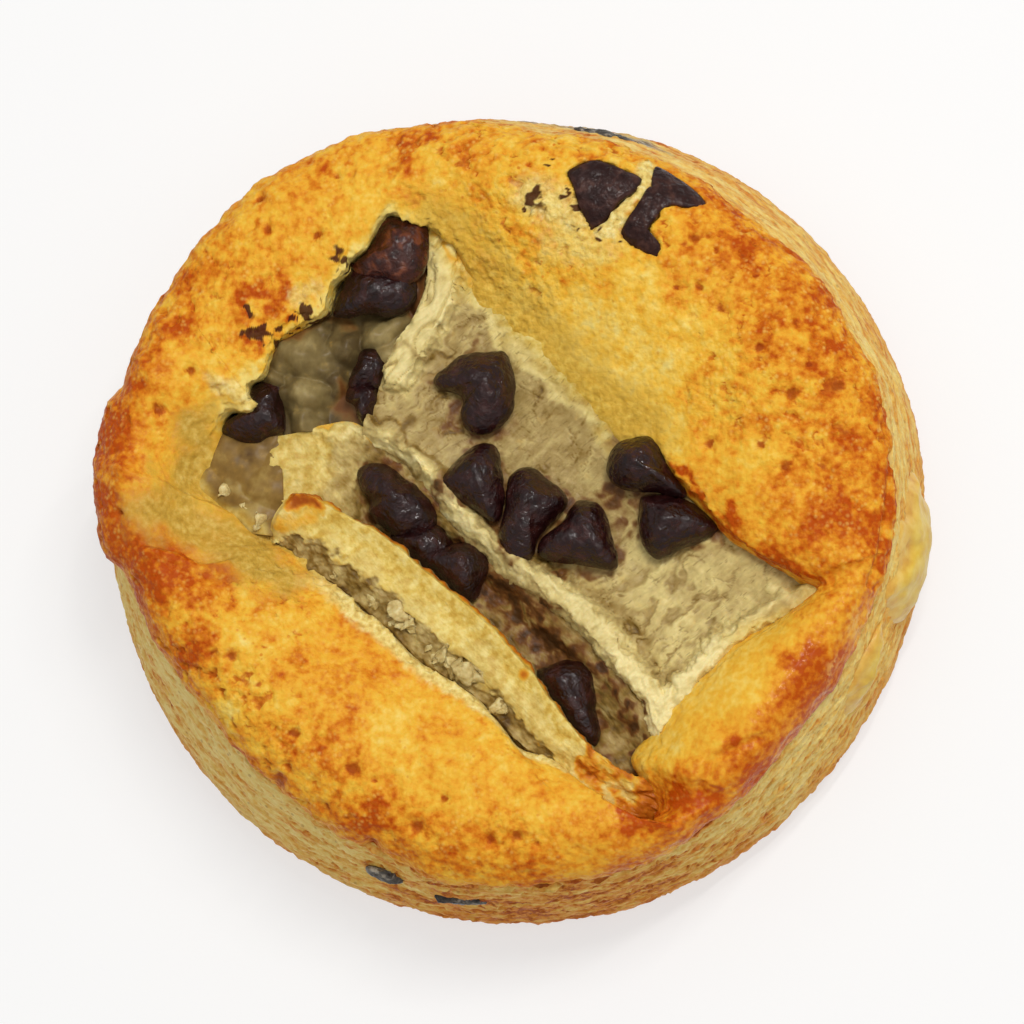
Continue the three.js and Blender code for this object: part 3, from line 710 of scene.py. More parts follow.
# ---------------------------------------------------------------- the cake's side and underside
# The part of the cake that stood in the tin: a tan wall, flaky where it was pulled off the metal,
# browner at the foot, with a flat underside. Above, it carries the crust.
BULGE_HEIGHT = 5.0
FOOT_INSET = 1.6
FLOOR_HEIGHT = 17.0  # the cake's flat middle, hidden under the slices
SIDE_COLUMNS = 900
FOOT_RINGS = 6  # rings over the underside, and again from there up to the bulge
WALL_RINGS = 70
MIDDLE = 1.5  # radius of the flat cap in the middle of the underside and of the top
BULGE = [  # azimuth, radius
    (0, 49.3), (45, 48.4), (68, 47.8), (80, 47.0), (95, 47.5), (110, 48.3), (125, 48.0),
    (150, 48.2), (195, 48.7), (235, 48.9), (270, 49.4), (285, 49.7), (300, 49.5), (330, 49.3),
]
SIDE_FLAKES = [  # azimuth, how torn the wall is
    (0, 0.5), (30, 0.4), (120, 0.6), (220, 0.8), (270, 1.4), (300, 1.2), (330, 0.7),
]
PRESSED_CHOCOLATE = [  # where it melted against the tin: azimuth, height, half sizes
    (77.0, 12.0, 9.0, 5.0), (87.0, 10.0, 7.0, 3.4), (68.0, 15.0, 4.0, 1.6),
]
SIDE_BROWNING = [  # azimuth, browning
    (0, 0.35), (30, 0.40), (60, 0.45), (120, 0.50), (180, 0.45), (215, 0.20), (245, 0.30),
    (266, 0.72), (285, 0.72), (300, 0.50), (315, 0.30), (340, 0.40),
]
SIDE_TONES = [  # browning, colour
    (0.0, (238, 210, 126)), (0.3, (232, 190, 96)), (0.55, (224, 164, 70)), (0.8, (212, 130, 42)),
    (1.0, (166, 78, 20)),
]

side_azimuth = np.arange(SIDE_COLUMNS) * 360 / SIDE_COLUMNS
bulge = outline(BULGE, side_azimuth)[:, None]
shoulder = outline(CRUST_EDGE, side_azimuth)[:, None]
each = np.ones_like(bulge)
low = np.linspace(0, 1, FOOT_RINGS + 1)[None, :-1]
up_wall = np.linspace(0, 0.99, WALL_RINGS)[None, :]
sheets = [  # radius and height from the middle of the underside, up the wall and in under the crust
    (MIDDLE + (bulge - FOOT_INSET - MIDDLE) * low, 0 * each * low),
    (bulge - FOOT_INSET * (1 - low) ** 2, BULGE_HEIGHT * each * low),
    (bulge + (shoulder - bulge) * up_wall**1.4,
     BULGE_HEIGHT + (EDGE_HEIGHT - BULGE_HEIGHT) * each * up_wall),
    (np.concatenate([
        shoulder - 1.2, shoulder - 4, shoulder - 6, 24 * each, 10 * each, MIDDLE * each], axis=1),
     np.array([[EDGE_HEIGHT - 0.4, 22.5] + [FLOOR_HEIGHT] * 4]) * each),
]
radius, height = (np.concatenate(parts, axis=1) for parts in zip(*sheets))
turn = np.radians(side_azimuth)[:, None]
ring_number = np.arange(radius.shape[1])
under_crust = ring_number >= 2 * FOOT_RINGS + WALL_RINGS
on_wall = (ring_number >= FOOT_RINGS) & ~under_crust
side_grid = np.stack([radius * np.cos(turn), radius * np.sin(turn), height], axis=2)
layers = side_grid * np.array([1, 1, 3.4])
flaky = outline(SIDE_FLAKES, side_azimuth)[:, None]
relief = 0.30 * grain(layers, 4.5, 3, 3.0) + 0.22 * grain(layers, 1.8, 3, 9.0) * flaky
relief += 0.10 * grain(side_grid, 0.8, 2, 13.0) - 0.08
relief += 0.5 * hump(height - EDGE_HEIGHT + 1.0, 2.4) * grain(layers, 2.2, 3, 15.0) * flaky
cracks = hump(grain(side_grid * np.array([1, 1, 5.0]), 6.0, 3, 39.0), 0.09) * flaky
relief -= 0.25 * cracks
relief *= on_wall[None, :] * ease(height, 0, 1.5)
side_grid[..., 0] += relief * np.cos(turn)
side_grid[..., 1] += relief * np.sin(turn)
bm, column, ring = rolled_grid(SIDE_COLUMNS, radius.shape[1], hoop=False)
bmesh.ops.holes_fill(bm, edges=[e for e in bm.edges if e.is_boundary], sides=0)
side = finish_mesh("cake_side", bm, side_grid[column, ring])

side_brown = outline(SIDE_BROWNING, side_azimuth)[:, None] + 0.45 * grain(layers, 6.0, 3, 21.0)
side_brown = side_brown + 0.35 * grain(layers, 1.6, 3, 27.0) - 0.15 * ease(height, 12, 24)
side_brown += 0.35 * hump(height - EDGE_HEIGHT, 1.6) * flaky + 0.5 * cracks
foot = hump(height, 11) * (1.0 + 0.9 * grain(layers, 5.0, 3, 33.0)) + 0.4 * cracks
smear = np.zeros_like(radius)
for at, level, wide, tall in PRESSED_CHOCOLATE:
    spot = np.hypot((side_azimuth[:, None] - at) / wide, (height - level) / tall)
    smear = np.maximum(smear, hump(spot * (1 + 0.6 * grain(layers, 2.0, 3, 37.0)), 1.1))
side_paints = {
    "browning": side_brown, "flaky": np.minimum(flaky, 1.1) + 0 * radius, "foot": foot,
    "crumb": under_crust * each, "smear": smear,
}
for name, field in side_paints.items():
    paint(side, name, field[column, ring])

side_look, tree, shader, where = new_material("cake_side")
grit = mottle(tree, where, 0.6)
flat = node(tree, "ShaderNodeMapping", {"Vector": where, "Scale": (0.5, 0.5, 3.0)}).outputs["Vector"]
level = calc(tree, "MULTIPLY_ADD", grit, 0.8, painted(tree, "browning"))
streaks = calc(tree, "MULTIPLY", mottle(tree, flat, 0.9), painted(tree, "flaky"))
level = calc(tree, "MULTIPLY_ADD", streaks, 0.9, level)
tone = tone_ramp(tree, level, SIDE_TONES)
foot_tone = tone_ramp(tree, calc(tree, "ADD", grit, 0.5), [(0.3, (186, 92, 22)), (0.6, (234, 150, 54))])
tone = blend(tree, calc(tree, "MULTIPLY", painted(tree, "foot"), 0.8), tone, foot_tone)
pores = step_up(tree, bubbles(tree, where, 1.5), 0.22, 0.08)
tone = blend(tree, calc(tree, "MULTIPLY", pores, 0.4), tone, colour(140, 78, 30))
tone = blend(tree, painted(tree, "crumb"), tone, colour(150, 122, 70))
smear_tone = tone_ramp(tree, speckle(tree, flat, 0.7, 3.0), [
    (0.35, (74, 74, 70)), (0.5, (136, 132, 120)), (0.65, (212, 204, 186)),
])
tone = blend(tree, painted(tree, "smear"), tone, smear_tone)
tree.links.new(tone, shader.inputs["Base Color"])
tree.links.new(calc(tree, "MULTIPLY_ADD", grit, 0.3, 0.5), shader.inputs["Roughness"])
shader.inputs["Specular IOR Level"].default_value = 0.12
moist_flesh(shader, 1.0, 0.08)
torn_layers = calc(tree, "ADD", speckle(tree, where, 0.5, 3.0), speckle(tree, flat, 0.9, 3.0))
add_bump(tree, shader, torn_layers, 0.7, 0.35)
finish_piece(side, side_look, "crust", "cake")

# ---------------------------------------------------------------- the cooked pear slices
# Soft slices cut lengthwise, laid side by side and baked into the batter. The flesh turned greyish
# and fibrous, and its cut rims curled up and dried to a pale cream.
FACE_HEIGHT = 22.8
SLICE_FOOT = 17.6
EDGE_DROP = 0.6  # how far a slice's side has gone down just under the rounded edge of its top
PEAR_TONES = [  # tone, colour
    (0.0, (88, 64, 30)), (0.25, (134, 106, 50)), (0.5, (174, 150, 94)), (0.75, (210, 190, 124)),
    (1.0, (238, 222, 160)),
]
MELTED = [  # chocolate that ran out between the chips: x, y, radius
    (1.0, -4.6, 1.4), (5.6, -7.6, 1.3), (1.6, 0.4, 1.1), (9.2, -2.2, 1.4), (14.6, -2.4, 2.2),
    (16.0, -4.6, 1.4), (13.6, -0.2, 1.3), (17.4, -0.9, 1.6), (-4.4, 8.6, 1.8), (-2.6, 5.8, 1.2),
    (8.4, -9.2, 1.1), (-5.9, -0.6, 1.2),
]
# The chips, which stain the slices round them with melted chocolate and darken them with a ring of
# painted contact shade. Number: foot's height, or that of the crust's crest over a sunk one, thickness,
# the tip's x and y, and the outline in plan.
CHIPS = {
    1: (23.2, 4.2, (-0.2, 12.4), [
        (-6.9, 13.0), (-5.2, 14.6), (-3.0, 15.9), (0.5, 16.2), (1.9, 15.6), (2.7, 13.2),
        (2.8, 10.5), (2.3, 8.3), (0.8, 6.8), (-1.5, 6.4), (-3.0, 7.2), (-3.6, 8.8), (-3.3, 10.3),
        (-4.6, 11.4), (-6.2, 11.8)]),
    2: (23.0, 4.2, (-1.7, 1.9), [
        (-6.0, 1.0), (-4.5, 3.0), (-2.5, 4.8), (-0.5, 5.3), (0.8, 4.6), (1.3, 2.2), (1.5, -1.0),
        (1.1, -3.4), (0.3, -4.2), (-1.5, -3.0), (-4.0, -1.2), (-5.6, 0.0)]),
    3: (23.0, 4.4, (4.7, -1.2), [
        (2.3, 1.4), (3.6, 2.4), (5.2, 2.2), (6.8, 0.9), (8.6, -0.8), (9.0, -1.8), (8.0, -3.4),
        (6.2, -4.9), (5.4, -6.5), (4.8, -8.2), (3.2, -8.8), (1.6, -7.8), (0.9, -5.8), (1.4, -3.0),
        (1.8, -0.2)]),
    4: (23.0, 4.4, (11.2, -5.0), [
        (10.4, -1.6), (12.4, -1.9), (13.6, -3.5), (14.2, -6.0), (14.9, -8.8), (14.2, -9.9),
        (12.5, -9.6), (9.5, -9.1), (6.8, -8.6), (5.5, -7.7), (5.9, -6.0), (8.2, -4.2),
        (9.4, -2.4)]),
    5: (23.6, 4.6, (17.2, 2.4), [
        (13.7, 1.4), (13.9, 3.2), (15.0, 4.8), (16.6, 5.4), (18.6, 5.7), (19.8, 4.7), (20.8, 2.7),
        (21.6, 0.8), (22.9, -0.6), (22.6, -1.6), (20.0, -1.1), (17.0, -0.8), (14.6, 0.0)]),
    6: (23.0, 4.4, (20.4, -4.2), [
        (17.4, -1.4), (19.5, -1.0), (22.0, -1.5), (24.5, -2.7), (26.2, -4.2), (26.5, -5.2),
        (25.2, -6.4), (22.5, -7.6), (20.3, -8.6), (18.8, -8.2), (17.6, -6.6), (17.2, -4.0)]),
    7: (21.2, 4.4, (-11.2, -1.0), [
        (-16.1, 2.7), (-14.8, 3.7), (-12.4, 3.2), (-10.4, 1.6), (-8.4, 0.2), (-7.0, -1.6),
        (-6.6, -3.5), (-7.6, -4.8), (-9.5, -5.4), (-11.2, -5.6), (-12.8, -4.4), (-14.8, -2.6),
        (-14.6, -0.9), (-15.9, 0.6)]),
    8: (21.0, 4.2, (-3.4, -8.8), [
        (-8.6, -7.1), (-6.2, -6.4), (-3.4, -5.9), (-1.6, -6.6), (-0.6, -8.4), (-1.1, -10.6),
        (-2.2, -12.6), (-3.6, -12.8), (-5.0, -11.6), (-7.0, -9.8), (-8.6, -8.6)]),
    9: (20.8, 3.8, (-8.4, -6.0), [
        (-12.2, -5.2), (-9.4, -4.4), (-6.7, -3.8), (-5.4, -5.0), (-4.8, -7.0), (-6.4, -8.6),
        (-8.0, -9.2), (-9.8, -8.2), (-11.4, -6.8)]),
    10: (20.8, 4.2, (8.6, -22.6), [
        (4.9, -21.4), (6.6, -20.4), (8.3, -19.9), (10.0, -20.1), (11.5, -21.2), (11.9, -23.6),
        (12.1, -26.5), (12.5, -28.6), (11.9, -30.0), (10.2, -29.4), (7.6, -26.6), (5.8, -23.8)]),
    11: (22.8, 3.0, (-14.6, 14.6), [
        (-15.5, 16.6), (-14.3, 17.0), (-13.0, 16.4), (-12.1, 14.8), (-12.8, 13.2), (-13.8, 12.1),
        (-16.6, 11.9), (-17.0, 13.2), (-16.2, 15.0)]),
    12: (22.6, 3.0, (-15.2, 10.8), [
        (-17.0, 12.4), (-15.4, 12.8), (-13.6, 12.4), (-13.5, 11.0), (-14.2, 8.8), (-15.1, 7.9),
        (-16.0, 8.8), (-16.2, 10.2), (-17.3, 10.9)]),
    13: (22.4, 3.8, (-27.0, 9.4), [
        (-28.8, 12.4), (-27.4, 13.2), (-25.8, 13.2), (-25.0, 12.6), (-24.9, 10.5), (-24.3, 8.3),
        (-24.7, 7.1), (-26.5, 6.7), (-27.7, 6.0), (-29.2, 6.0), (-31.0, 6.6), (-32.3, 7.4),
        (-31.5, 8.8), (-29.6, 10.0)]),
    14: (23.8, 3.8, (-13.0, 23.2), [
        (-16.8, 26.2), (-12.4, 26.2), (-10.2, 25.2), (-8.8, 24.8), (-8.7, 22.8), (-10.0, 21.0),
        (-12.4, 20.4), (-14.2, 20.9), (-16.5, 20.4), (-18.6, 20.7), (-18.4, 22.6), (-17.4, 24.4)]),
    15: (24.8, 3.4, (-10.4, 28.4), [
        (-12.6, 32.0), (-10.6, 32.2), (-8.6, 31.9), (-7.4, 31.0), (-7.2, 28.8), (-7.2, 26.6),
        (-8.4, 24.6), (-10.6, 23.8), (-12.7, 24.4), (-15.1, 24.6), (-16.3, 26.4), (-14.9, 27.8),
        (-13.7, 29.6)]),
    16: (30.8, 2.2, (13.6, 34.6), SUNK_CHIPS[16]),
    17: (30.8, 2.2, (22.0, 33.8), SUNK_CHIPS[17]),
    18: (30.8, 2.2, (18.6, 29.6), SUNK_CHIPS[18]),
}


def open_curve(points, u):
    """Points at u, 0 to 1, along the smooth curve through a list of points."""
    p = np.array(points, float)
    t = u * (len(p) - 1)
    i = np.minimum(np.floor(t).astype(int), len(p) - 2)
    t = (t - i)[..., None]
    a, b, c, d = (p[np.clip(i + k, 0, len(p) - 1)] for k in (-1, 0, 1, 2))
    return 0.5 * (2 * b + (c - a) * t + (2 * a - 5 * b + 4 * c - d) * t**2
                  + (3 * b - a - 3 * c + d) * t**3)


def slab(back, front, left, right, steps, height):
    """A slice whose plan is bounded by four curves: back and front run from left to right, left and
    right from back to front. Its top follows the height over the plan, its underside is flat.
    Gives the bmesh, the grid of points of its top, u and v over it, and each vertex's place in it:
    its column and row, and 0 on the top, 1 just under the edge or 2 at the foot."""
    bm = bmesh.new()
    bmesh.ops.create_grid(bm, x_segments=steps[0], y_segments=steps[1], size=0.5)
    for level in (-1, -2):
        low = bmesh.ops.extrude_edge_only(bm, edges=[e for e in bm.edges if e.is_boundary])["geom"]
        for vertex in (g for g in low if isinstance(g, bmesh.types.BMVert)):
            vertex.co.z = level
    bmesh.ops.edgeloop_fill(bm, edges=[e for e in bm.edges if e.is_boundary])
    place = np.array([v.co for v in bm.verts])
    across = np.rint((place[:, 0] + 0.5) * steps[0]).astype(int)
    down = np.rint((0.5 - place[:, 1]) * steps[1]).astype(int)
    u, v = np.meshgrid(np.linspace(0, 1, steps[0] + 1), np.linspace(0, 1, steps[1] + 1), indexing="ij")
    p, q = u[..., None], v[..., None]
    corner = [np.array(c, float) for c in (back[0], back[-1], front[0], front[-1])]
    plan = (1 - q) * open_curve(back, u) + q * open_curve(front, u)
    plan += (1 - p) * open_curve([back[0], *left, front[0]], v)
    plan += p * open_curve([back[-1], *right, front[-1]], v)
    plan -= (1 - q) * ((1 - p) * corner[0] + p * corner[1]) + q * ((1 - p) * corner[2] + p * corner[3])
    grid = np.concatenate([plan, height(plan, u, v)[..., None]], axis=2)
    return bm, grid, u, v, (across, down, np.rint(-place[:, 2]))


def roughen(grid, relief):
    """Pushes a grid of points out along its normals by the relief."""
    normal = np.cross(np.gradient(grid, axis=1), np.gradient(grid, axis=0))
    normal /= np.maximum(np.linalg.norm(normal, axis=2), 1e-9)[..., None]
    normal *= np.sign(normal[..., 2].mean())
    return grid + normal * relief[..., None]


def finish_slab(name, bm, grid, spots, look, replaced, **paints):
    """Makes the slice's object; paints that are left out are 0, and batter and scorching stay on
    its top."""
    across, down, sinking = spots
    points = grid[across, down]
    points[sinking == 1, 2] -= EDGE_DROP
    points[sinking == 2, 2] = SLICE_FOOT
    piece = finish_mesh(name, bm, points)
    for paint_name in ("tone", "film", "speck", "burnt", "stain"):
        values = (paints.get(paint_name, 0) + 0 * grid[..., 0])[across, down]
        if paint_name in ("film", "burnt"):
            values = values * (sinking == 0)
        paint(piece, paint_name, values)
    finish_piece(piece, look, "pear", replaced)


def flesh_look(name, lean, fibre_depth, fibre_size=0.55, fibre_tone=0.5, tones=PEAR_TONES):
    """Cooked fruit: tone from its paint, fine fibres leaning that way, dark specks, a moist sheen.
    Its paints are tone, film for batter over it, burnt, stain for chocolate and for painted shade, and
    speck."""
    look, tree, shader, where = new_material(name)
    combed = node(tree, "ShaderNodeMapping", {
        "Vector": where, "Rotation": (0, 0, lean), "Scale": (3.6, 1.0, 2.0),
    }, vector_type="TEXTURE").outputs["Vector"]
    fibre = speckle(tree, combed, fibre_size, 4.0, 0.8)
    clouds = mottle(tree, where, 1.3)
    level = calc(tree, "SUBTRACT", fibre, 0.5)
    level = calc(tree, "MULTIPLY_ADD", level, fibre_tone, painted(tree, "tone"))
    level = calc(tree, "MULTIPLY_ADD", clouds, 0.4, level)
    tone = tone_ramp(tree, level, tones)
    film_level = calc(tree, "ADD", speckle(tree, where, 0.9, 4.0), clouds)
    film_tone = tone_ramp(tree, film_level, [
        (0.3, (202, 162, 64)), (0.5, (220, 190, 94)), (0.75, (234, 214, 134)),
    ])
    tone = blend(tree, painted(tree, "film"), tone, film_tone)
    specks = step_up(tree, speckle(tree, combed, 0.34, 1.0), 0.62, 0.72)
    specks = calc(tree, "MULTIPLY", specks, calc(tree, "MULTIPLY", painted(tree, "speck"), 0.4))
    tone = blend(tree, specks, tone, colour(112, 86, 40))
    burnt = calc(tree, "MULTIPLY_ADD", clouds, 0.5, painted(tree, "burnt"))
    scorch = tone_ramp(tree, burnt, [
        (0.3, (220, 166, 52)), (0.6, (204, 124, 30)), (0.95, (158, 76, 16)),
    ])
    tone = blend(tree, step_up(tree, burnt, 0.04, 0.36), tone, scorch)
    # The stain colour is melted chocolate, and painted shade where the slices carry it round the chips
    # and along the crust's edge.
    stain = calc(tree, "MULTIPLY_ADD", clouds, 0.6, painted(tree, "stain"))
    melt_and_shade = tone_ramp(tree, stain, [(0.2, (150, 112, 60)), (0.55, (110, 68, 32)), (0.95, (66, 38, 18))])
    tone = blend(tree, calc(tree, "MULTIPLY", step_up(tree, stain, 0.08, 0.6), 0.95), tone, melt_and_shade)
    tree.links.new(tone, shader.inputs["Base Color"])
    tree.links.new(calc(tree, "MULTIPLY_ADD", clouds, 0.3, 0.36), shader.inputs["Roughness"])
    shader.inputs["Specular IOR Level"].default_value = 0.14
    moist_flesh(shader, 1.2, 0.1)
    fine = calc(tree, "MULTIPLY", speckle(tree, where, 0.45, 3.0), 0.8)
    add_bump(tree, shader, calc(tree, "ADD", fibre, fine), 0.6, fibre_depth)
    return look


# The broad slice, its dished face framed by curled rims at the left end, front and right end.
BROAD_BACK = [
    (-7.2, 31.0), (-2.4, 28.2), (5.2, 21.6), (13.6, 13.4), (20.6, 5.0), (28.4, -2.6), (36.0, -8.6),
    (41.0, -11.6),
]
BROAD_FRONT = [
    (-16.0, 5.6), (-12.2, 3.4), (-9.0, 0.2), (-6.4, -3.4), (-3.8, -6.6), (-0.4, -9.8), (3.4, -13.0),
    (6.4, -15.8), (9.2, -18.4), (11.8, -21.0), (13.8, -23.4), (15.6, -26.0), (17.0, -28.4), (18.2, -31.6),
]
BROAD_LEFT = [
    (-7.6, 28.0), (-7.5, 25.2), (-8.2, 22.6), (-9.9, 19.2), (-11.8, 16.8), (-12.8, 14.2),
    (-13.7, 11.0), (-14.8, 8.2),
]
BROAD_END = [
    (38.8, -13.4), (35.8, -15.6), (32.0, -17.6), (29.4, -19.2), (26.8, -21.4), (24.4, -24.0),
    (22.0, -26.6), (19.8, -29.6),
]
BROAD_RIDGE = [
    (-15.2, 7.0), (-13.0, 5.8), (-10.0, 3.6), (-7.2, 0.8), (-4.8, -2.3), (-2.8, -4.8), (0.0, -7.4),
    (3.6, -10.2), (6.6, -11.9), (9.8, -14.2), (12.7, -17.0), (15.2, -20.0), (17.4, -22.8),
    (19.2, -25.0), (18.9, -29.0),
]
BROAD_LEFT_RIM = [
    (-5.4, 28.6), (-5.2, 25.5), (-6.2, 22.3), (-7.9, 19.4), (-9.6, 16.9), (-11.0, 14.4),
]
BROAD_END_RIM = [
    (19.6, -28.4), (20.8, -25.4), (23.4, -22.6), (26.2, -19.6), (29.4, -17.2), (33.0, -15.0),
    (38.0, -12.6),
]
BROAD_SHADOW = [
    (6.0, -9.4), (9.2, -11.2), (11.8, -13.2), (14.2, -15.6), (16.4, -18.4), (18.4, -21.0),
    (20.2, -23.0),
]
# Lines of painted shade: under the crust's edge, in folds and in the grooves along the curled rims.
BROAD_SHADE_LINES = [  # path, width, how much darker: under the crust, at folds and along the rims
    ([(26.5, -5.6), (31.5, -9.6), (37.0, -12.4)], 1.4, 0.3),
    ([(-12.0, 15.7), (-8.0, 16.2), (-5.0, 15.4)], 0.8, 0.3),
    ([(-2.8, 27.2), (-1.6, 23.8), (0.7, 21.4)], 0.8, 0.3),
    ([(-13.4, 9.4), (-10.0, 8.0), (-7.4, 4.4), (-5.4, 1.6)], 0.8, 0.3),
    ([(-15.0, 5.0), (-11.4, 2.2), (-8.4, -1.6), (-5.4, -5.2)], 0.8, 0.3),
    ([(21.4, -22.0), (24.6, -18.2), (29.0, -15.2)], 0.7, 0.24),
]
BROAD_PALE_LINE = [(-2.8, 22.6), (-0.7, 20.0), (2.6, 17.0), (5.9, 13.2), (8.3, 10.3), (11.6, 7.6)]
BROAD_FLANK = [(2.6, -13.6), (6.4, -16.8), (10.4, -20.8), (13.8, -24.8), (16.6, -29.6)]


def broad_rims(points):
    """How far each point stands on the curled front rim, the left rim and the end rim, 0 to 1."""
    uneven = warped(warped(points, 3.6, 0.8, 6.0), 1.1, 0.5, 16.0)
    return [np.minimum(1.3 * near_path(uneven, path, width), 1)
            for path, width in ((BROAD_RIDGE, 3.3), (BROAD_LEFT_RIM, 4.2), (BROAD_END_RIM, 2.6))]


def broad_height(plan, u, v):
    ridge, left_rim, end_rim = broad_rims(np.pad(plan, ((0, 0), (0, 0), (0, 1))))
    face = FACE_HEIGHT + 1.5 * near_path(plan, BROAD_BACK, 12) + 1.1 * (1 - ease(plan[..., 0], -12, 2))
    rims = FACE_HEIGHT + np.maximum.reduce([2.4 * ridge, 2.5 * left_rim, 2.4 * end_rim])
    face = np.maximum(face, rims) - 0.7 * near_path(plan, BROAD_SHADOW, 2.4) * (1 - ridge)
    return face - 3.0 * ease(v, 0.86, 1.0) - 1.5 * (1 - ease(v, 0, 0.02))


def comb(points, degrees):
    """The points turned so that a noise over them is drawn out in that direction."""
    lean = math.radians(degrees)
    along = points[..., 0] * math.cos(lean) + points[..., 1] * math.sin(lean)
    over = points[..., 1] * math.cos(lean) - points[..., 0] * math.sin(lean)
    return np.stack([along * 0.2, over, points[..., 2] * 0.3], axis=-1)


bm, grid, u, v, spots = slab(
    BROAD_BACK, BROAD_FRONT, BROAD_LEFT, BROAD_END, (300, 230), broad_height)
ridge, left_rim, end_rim = broad_rims(grid)
rims = np.maximum.reduce([ridge, left_rim, end_rim])
wavy = warped(grid, 4.0, 2.2, 6.0)
wrinkles = grain(comb(wavy, 42), 1.7, 3, 7.0)
lower = ease(grid[..., 0] - grid[..., 1], 8, 30)
thread = hump(grain(comb(wavy, 46), 2.2, 2, 27.0), 0.1) * ease(grain(grid, 3.0, 2, 28.0), -0.2, 0.2)
net = hump(grain(wavy, 2.8, 3, 37.0), 0.08) * ease(grain(grid, 4.0, 2, 38.0), -0.3, 0.2)
folds = grain(comb(warped(grid, 8.0, 1.6, 6.0), 66), 1.9, 2, 12.0)
fold_line = hump(folds + 0.1, 0.1) * left_rim
rim_streaks = grain(comb(wavy, -50), 1.2, 3, 8.0) * ridge + grain(comb(wavy, 42), 1.0, 3, 9.0) * end_rim
relief = 0.3 * grain(grid, 6.0, 2, 4.0) + (0.10 + 0.18 * lower) * wrinkles * (1 - rims)
relief += 0.55 * folds * left_rim - 0.35 * fold_line + 0.2 * rim_streaks
relief += (0.12 + 0.16 * ease(grid[..., 0], -2, 10)) * ridge * grain(grid, 1.1, 3, 8.0)
relief += 0.05 * grain(grid, 0.8, 2, 66.0)
relief -= (0.16 * thread * (0.3 + lower) + 0.10 * net) * (1 - rims)
relief *= ease(v, 0, 0.04) * (1 - 0.6 * ease(v, 0.97, 1.0))
grid = roughen(grid, relief)
rim_tone = 0.4 * left_rim + (0.3 - 0.3 * ease(grid[..., 0], 25, 34)) * end_rim
rim_tone += ridge * (0.16 + 0.3 * ease(grid[..., 0], -2, 18) - 0.3 * lower)
rim_tone += 0.3 * near_path(wavy, BROAD_RIDGE, 1.2) * (1 - ease(grid[..., 0], 2, 12))
tone = 0.46 + 0.22 * lower + rim_tone + 0.07 * grain(grid, 3.5, 3, 17.0) + 0.16 * wrinkles * (1 - rims)
tone += 0.24 * rim_streaks - 0.24 * fold_line - (0.26 * thread + 0.22 * net) * (1 - rims)
tone -= 0.26 * near_path(wavy, BROAD_SHADOW, 2.6) * (1 - ridge)
# Painted shade under the crust's edge, in folds and along the rims.
for path, width, darker in BROAD_SHADE_LINES:
    tone -= darker * near_path(wavy, path, width)
tone += 0.34 * near_path(wavy, BROAD_PALE_LINE, 1.2)
flank = near_path(wavy, BROAD_FLANK, 3.0)
flank = np.maximum(flank, 0.4 * near_path(wavy, [(-9.0, -0.4), (-4.0, -7.0), (1.0, -11.6)], 1.6))
stain = flank * (0.7 + 0.9 * grain(grid, 1.6, 3, 20.0))
# A dark ring round each chip: partly melted chocolate, partly painted contact shade.
for number in range(1, 7):
    beside = np.minimum(depth_inside(wavy, CHIPS[number][3]), 0)
    stain = np.maximum(stain, 0.5 * hump(beside, 1.0) * (0.8 + 0.6 * grain(grid, 1.6, 2, 24.0)))
for x, y, radius in MELTED:
    spot = np.hypot(wavy[..., 0] - x, wavy[..., 1] - y)
    stain = np.maximum(stain, (0.6 + 0.5 * grain(grid, 2.0, 3, 22.0)) * hump(spot, 1.5 * radius))
film = near_path(wavy, THIN_EDGE, 5.0)
film += 0.7 * near_path(wavy, [(38.5, -12.6), (34.0, -15.6), (29.0, -18.8)], 2.6)
broad_look = flesh_look("pear_broad_slice", math.radians(40), 0.18, 0.55, 0.3)
finish_slab(
    "pear_broad_slice", bm, grid, spots, broad_look, "pear_slice_broad",
    tone=tone, film=0.9 * film, speck=1 - 0.8 * rims, stain=stain,
    burnt=0.3 * near_path(wavy, [(-7.4, 29.8), (-5.0, 29.6), (-2.9, 26.4), (-0.8, 23.4)], 0.8))

# The slice that stands on edge: golden batter on its upper edge, torn crumb below it.
UPRIGHT_HEIGHT = 25.2
UPRIGHT_BACK = [
    (-23.4, 0.1), (-20.6, -0.5), (-17.6, -2.4), (-12.3, -5.2), (-8.1, -8.8), (-5.0, -11.4),
    (-2.4, -13.6), (1.6, -17.6), (5.4, -22.0), (8.8, -27.0), (11.8, -30.4), (15.2, -33.2),
    (21.4, -35.8),
]
UPRIGHT_SLIT = [
    (-26.4, -6.2), (-24.2, -7.4), (-22.4, -9.2), (-20.2, -10.9), (-17.8, -12.4), (-15.7, -14.6),
    (-13.2, -16.6), (-10.0, -19.8), (-7.2, -21.9), (-2.8, -24.9), (-0.2, -27.2), (2.4, -30.2),
    (5.4, -32.0), (8.2, -33.6), (12.2, -36.8), (17.6, -40.2),
]
BAND_EDGE = [  # the line below which the golden band ends and the torn crumb begins
    (-24.8, -4.6), (-22.6, -5.2), (-20.0, -6.0), (-17.6, -7.6), (-15.3, -9.6), (-12.8, -11.4),
    (-10.5, -13.4), (-8.0, -16.0), (-5.8, -18.3), (-2.9, -20.4), (-0.8, -22.8), (1.3, -25.0),
    (3.6, -26.9), (5.6, -29.0), (7.4, -31.6),
]


def upright_height(plan, u, v):
    level = UPRIGHT_HEIGHT + 0.8 * near_path(plan, UPRIGHT_BACK[1:], 2.6)
    level -= 1.6 * ease(v, 0.5, 0.85) * (1 - 0.8 * ease(u, 0.78, 0.92)) + 0.9 * ease(v, 0.86, 1.0)
    ends = 0.8 * (1 - ease(u, 0, 0.03)) + 0.6 * ease(u, 0.84, 0.94) + 1.2 * ease(u, 0.94, 1.0)
    return level - 1.4 * (1 - ease(v, 0.0, 0.06)) - ends


